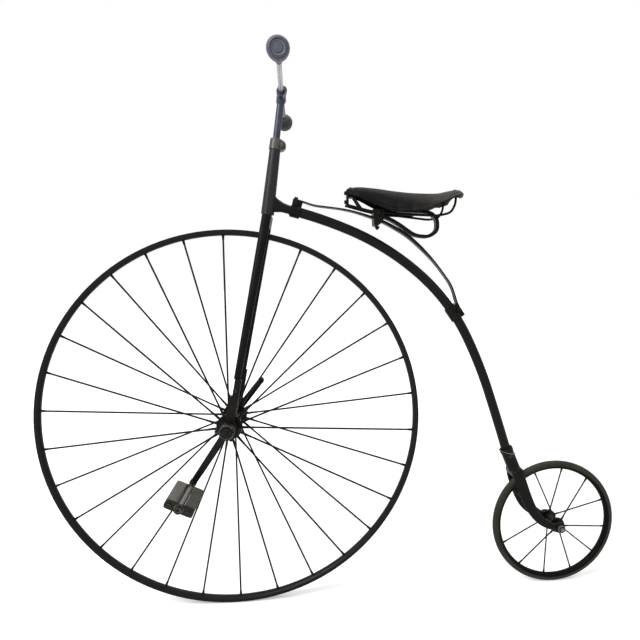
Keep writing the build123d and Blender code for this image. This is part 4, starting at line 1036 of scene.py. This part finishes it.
steering_steel = Shape()
steering_steel.turned([(0, 0), (0.0105, 0), (0.0105, 0.002), (0.0075, 0.0045), (0.0035, 0.0062),
                       (0, 0.0065)], CROWN + HEAD_LINE * BAR_TOP_UP, HEAD_LINE, 32)
bolt_pair(steering_steel, FRONT_AXLE + FORK_LINE * BRACKET_BOLT_UP, 0.076, 0.0070, 0.0026)
forward = -FORK_LINE.cross(ACROSS)
for sign in SIDES:
    blade_top = CROWN + FORK_LINE * BLADE_TOP_UP + ACROSS * (sign * BLADE_TOP_SIDE)
    steering_steel.turned([(0, 0), (0.0072, 0), (0.0072, 0.0012), (0.005, 0.0034), (0, 0.0044)],
                          blade_top, FORK_LINE, 28)
    oiler = FRONT_AXLE + forward * OILER_FORWARD + ACROSS * (sign * 0.069)
    steering_steel.turned([(0, 0), (0.003, 0), (0.003, 0.004), (0.0042, 0.005), (0.0042, 0.008),
                           (0.003, 0.0095), (0, 0.0098)], oiler, forward, 20)
place_piece(steering_steel.piece("steering_small_steel", HUB_STEEL), "steering")

SPRING_EAR_DOWN = 0.010
SPRING_CLIP_LUG = Vector((0.80, 0, 0.60)) * 0.010

frame_steel = Shape()
clamp_low, clamp_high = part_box("front_spring_clamp")
ear_x = (clamp_low.x + clamp_high.x) / 2
bolt_pair(frame_steel, Vector((ear_x, 0, clamp_high.z - SPRING_EAR_DOWN)), 0.010, 0.009, 0.004)
frame_steel.bolt(Vector((ear_x + 0.001, 0, clamp_high.z + 0.0025)), (0.2, 0, 1), 0.0085, 0.0032)
clip_low, clip_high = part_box("rear_spring_clip")
clip_middle = Vector(((clip_low.x + clip_high.x) / 2, 0, (clip_low.z + clip_high.z) / 2))
bolt_pair(frame_steel, clip_middle + SPRING_CLIP_LUG, 0.012, 0.009, 0.004, 0.0018, 0.0018)
place_piece(frame_steel.piece("frame_small_steel", FORK_ENAMEL), "frame")

axle_nuts = Shape()
bolt_pair(axle_nuts, REAR_AXLE, 0.0425, 0.0165, 0.0072, washer=0.0014)
place_piece(axle_nuts.piece("rear_axle_nuts", HUB_STEEL), "frame")

saddle_steel = Shape()
clamp_low, clamp_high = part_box("saddle_clamp")
clamp_middle = (clamp_low + clamp_high) / 2
side_bolt = Vector((clamp_middle.x, 0, clamp_middle.z + 0.010))
low_bolt = Vector((clamp_middle.x - 0.002, 0, clamp_low.z + 0.0004))
bolt_pair(saddle_steel, side_bolt, 0.019, 0.010, 0.0045, 0.002, 0.002)
saddle_steel.bolt(low_bolt, (0, 0, -1), 0.010, 0.0045, tip=0.003)
place_piece(saddle_steel.piece("saddle_small_steel", SPRING_STEEL), "frame")


# ---- crank bosses, cotters, the worn pin stub and the pedal's nuts

CRANK_ANGLE_OF = {NEAR: math.radians(235.2), FAR: math.radians(50.7)}
CRANK_FACE_Y = 0.104
CRANK_NUT_OUT = 0.0038
COTTER_Y = 0.093
COTTER_FROM_AXLE = 0.0115
STUB_FROM_AXLE = 0.103
STUB_LOW_Y = 0.0893
STUB_HIGH_Y = 0.1035
STUB_RADIUS = 0.0053


def heading_at(angle):
    """A direction in the plane of the wheels."""
    return Vector((math.cos(angle), 0, math.sin(angle)))


crank_steel = Shape()
boss_rings = Shape()
for sign, angle in CRANK_ANGLE_OF.items():
    face = FRONT_AXLE + ACROSS * (sign * CRANK_FACE_Y)
    boss_rings.turned([(0.0128, -0.0004), (0.0166, -0.0004), (0.0172, 0.0004), (0.0170, 0.0012),
                       (0.0158, 0.0020), (0.0144, 0.0019), (0.0132, 0.0010), (0.0128, -0.0004)],
                      face, ACROSS * sign, 56)
    crank_steel.hexagon(face + ACROSS * (sign * CRANK_NUT_OUT), ACROSS * sign, 0.0150, 0.0026)
    heading = heading_at(angle)
    square = heading.cross(ACROSS)
    cotter = FRONT_AXLE + ACROSS * (sign * COTTER_Y) + heading * COTTER_FROM_AXLE
    crank_steel.turned([(0, -0.021), (0.0034, -0.0205), (0.0042, 0.019), (0.0030, 0.021), (0, 0.0212)],
                       cotter, square, 20)
    crank_steel.hexagon(cotter - square * 0.0195, -square, 0.0095, 0.0045)
crank_steel.turned([(0, STUB_LOW_Y), (0.0044, STUB_LOW_Y), (STUB_RADIUS, STUB_LOW_Y + 0.0012),
                    (STUB_RADIUS, STUB_HIGH_Y - 0.001), (0.0046, STUB_HIGH_Y + 0.0006),
                    (0, STUB_HIGH_Y + 0.0012)],
                   FRONT_AXLE + heading_at(CRANK_ANGLE_OF[FAR]) * STUB_FROM_AXLE, ACROSS, 24)
place_piece(crank_steel.piece("crank_nuts_cotters_and_stub", HUB_STEEL), "front_wheel")
place_piece(boss_rings.piece("crank_boss_rings", BOSS_STEEL, 50.0), "front_wheel")

PEDAL_PIN_END = 0.0463
PEDAL_PLATE_OUT = 0.040
PEDAL_ROD_SPREAD = 0.021
PEDAL_TILT = math.radians(-25.0)

pin_end = Shape()
pin_end.turned([(0.0030, -0.0004), (0.0086, -0.0004), (0.0088, 0.0006), (0.0076, 0.0014), (0.0056, 0.0016),
                (0.0040, 0.0010), (0.0030, -0.0004)],
               PEDAL_MIDDLE - PEDAL_LINE * PEDAL_PIN_END, -PEDAL_LINE, 40)
place_piece(pin_end.piece("pedal_pin_ring", BOSS_STEEL, 50.0), "front_wheel")

rod_nuts = Shape()
block_line = heading_at(PEDAL_TILT)
block_line = (block_line - PEDAL_LINE * block_line.dot(PEDAL_LINE)).normalized()
for sign in SIDES:
    for rod in (-1, 1):
        spot = PEDAL_MIDDLE + block_line * (rod * PEDAL_ROD_SPREAD) + PEDAL_LINE * (sign * PEDAL_PLATE_OUT)
        rod_nuts.bolt(spot, PEDAL_LINE * sign, 0.0082, 0.0026, washer=0.0006)
place_piece(rod_nuts.piece("pedal_rod_nuts", PEDAL_NUT_STEEL), "pedal")


# ---- floor, light and camera

FLOOR_HALF = 40.0
FLOOR_GLOW = (1.15, 2.6, 0.42, 1.0)  # from how far to how far, and how bright there
SKY_LIGHT = 0.22
LAMPS = (  # name, place, aim, size, watts
    ("key_lamp", (-1.9, -1.5, 1.5), (0, 0, -0.3), (1.4, 1.4), 95.0),
    ("fill_lamp", (1.9, -1.4, 1.2), (0, 0, -0.5), (1.4, 1.4), 14.0),
    ("top_lamp", (0.2, 0.6, 2.6), (0, 0, -0.4), (2.4, 2.0), 40.0),
)
CAMERA_TURN = (-4.7355, 4.9874, -0.9559)  # yaw, pitch and roll in degrees
CAMERA_FROM_AXLE = Vector((0.1659, -1.2743, 0.3386))
CAMERA_LENS = 29.7765
CAMERA_SHIFT = (-0.03514, 0.00688)


def seen_or_mirrored(tree):
    """1 where the camera, a reflection or a clear piece looks, 0 for the light on the machine."""
    path = add_node(tree, "ShaderNodeLightPath")
    seen = calculate(tree, "MAXIMUM", path.outputs["Is Camera Ray"], path.outputs["Is Glossy Ray"])
    return calculate(tree, "MAXIMUM", seen, path.outputs["Is Transmission Ray"])


def stage_floor():
    """A pale floor that runs out of sight and keeps the shadow."""
    mesh = bpy.data.meshes.new("studio_floor")
    corners = [(x * FLOOR_HALF, y * FLOOR_HALF, GROUND) for x, y in ((-1, -1), (1, -1), (1, 1), (-1, 1))]
    mesh.from_pydata(corners, [], [(0, 1, 2, 3)])
    made, tree, shader = new_material("studio_floor_white")
    tooth = noise(tree, object_place(tree), 3.0, 2.0)
    tone = blend_colour(tree, tooth, colour(0.86, 0.86, 0.86), colour(0.88, 0.88, 0.88))
    tree.links.new(tone, shader.inputs["Base Color"])
    shader.inputs["Roughness"].default_value = 0.9
    shader.inputs["Specular IOR Level"].default_value = 0.0
    away = length_of(tree, object_place(tree))
    glow = times(tree, seen_or_mirrored(tree), spread(tree, away, *FLOOR_GLOW))
    shader.inputs["Emission Color"].default_value = colour(1, 1, 1)
    tree.links.new(glow, shader.inputs["Emission Strength"])
    mesh.materials.append(made)
    added("studio_floor", mesh)


def stage_world():
    """Soft room light, and white wherever the camera or a reflection looks past the machine."""
    world = bpy.data.worlds.new("studio_world")
    bpy.context.scene.world = world
    world.use_nodes = True
    tree = world.node_tree
    tree.nodes.clear()
    strength = spread(tree, seen_or_mirrored(tree), 0.0, 1.0, SKY_LIGHT, 1.0)
    light = add_node(tree, "ShaderNodeBackground", {"Color": colour(1, 1, 1), "Strength": strength})
    output = add_node(tree, "ShaderNodeOutputWorld")
    tree.links.new(light.outputs["Background"], output.inputs["Surface"])


def soft_lamp(name, place, aim, size, power):
    """A wide lamp that looks at a point."""
    light = bpy.data.lights.new(name, "AREA")
    light.shape = "RECTANGLE"
    light.size, light.size_y = size
    light.energy = power
    lamp = added(name, light)
    lamp.location = place
    lamp.rotation_euler = (Vector(aim) - Vector(place)).to_track_quat("-Z", "Y").to_euler()


def onlooker_camera():
    """The lens, place and turn that show the machine as a standing onlooker sees it."""
    yaw, pitch, roll = (math.radians(angle) for angle in CAMERA_TURN)
    level = Matrix.Rotation(yaw, 3, "Y") @ Matrix(((1, 0, 0), (0, 0, -1), (0, 1, 0)))
    turn = Matrix.Rotation(roll, 3, "Z") @ Matrix.Rotation(pitch, 3, "X") @ level
    right, down, forward = turn[0], turn[1], turn[2]
    matrix = Matrix((right, -down, -forward)).transposed().to_4x4()
    matrix.translation = FRONT_AXLE + CAMERA_FROM_AXLE
    data = bpy.data.cameras.new("onlooker")
    data.sensor_width = 36.0
    data.lens = CAMERA_LENS
    data.shift_x, data.shift_y = CAMERA_SHIFT
    data.clip_end = 200.0
    camera = added("onlooker", data)
    camera.matrix_world = matrix
    bpy.context.scene.camera = camera


stage_floor()
stage_world()
for lamp_values in LAMPS:
    soft_lamp(*lamp_values)
onlooker_camera()
bpy.context.scene.view_settings.view_transform = "Standard"
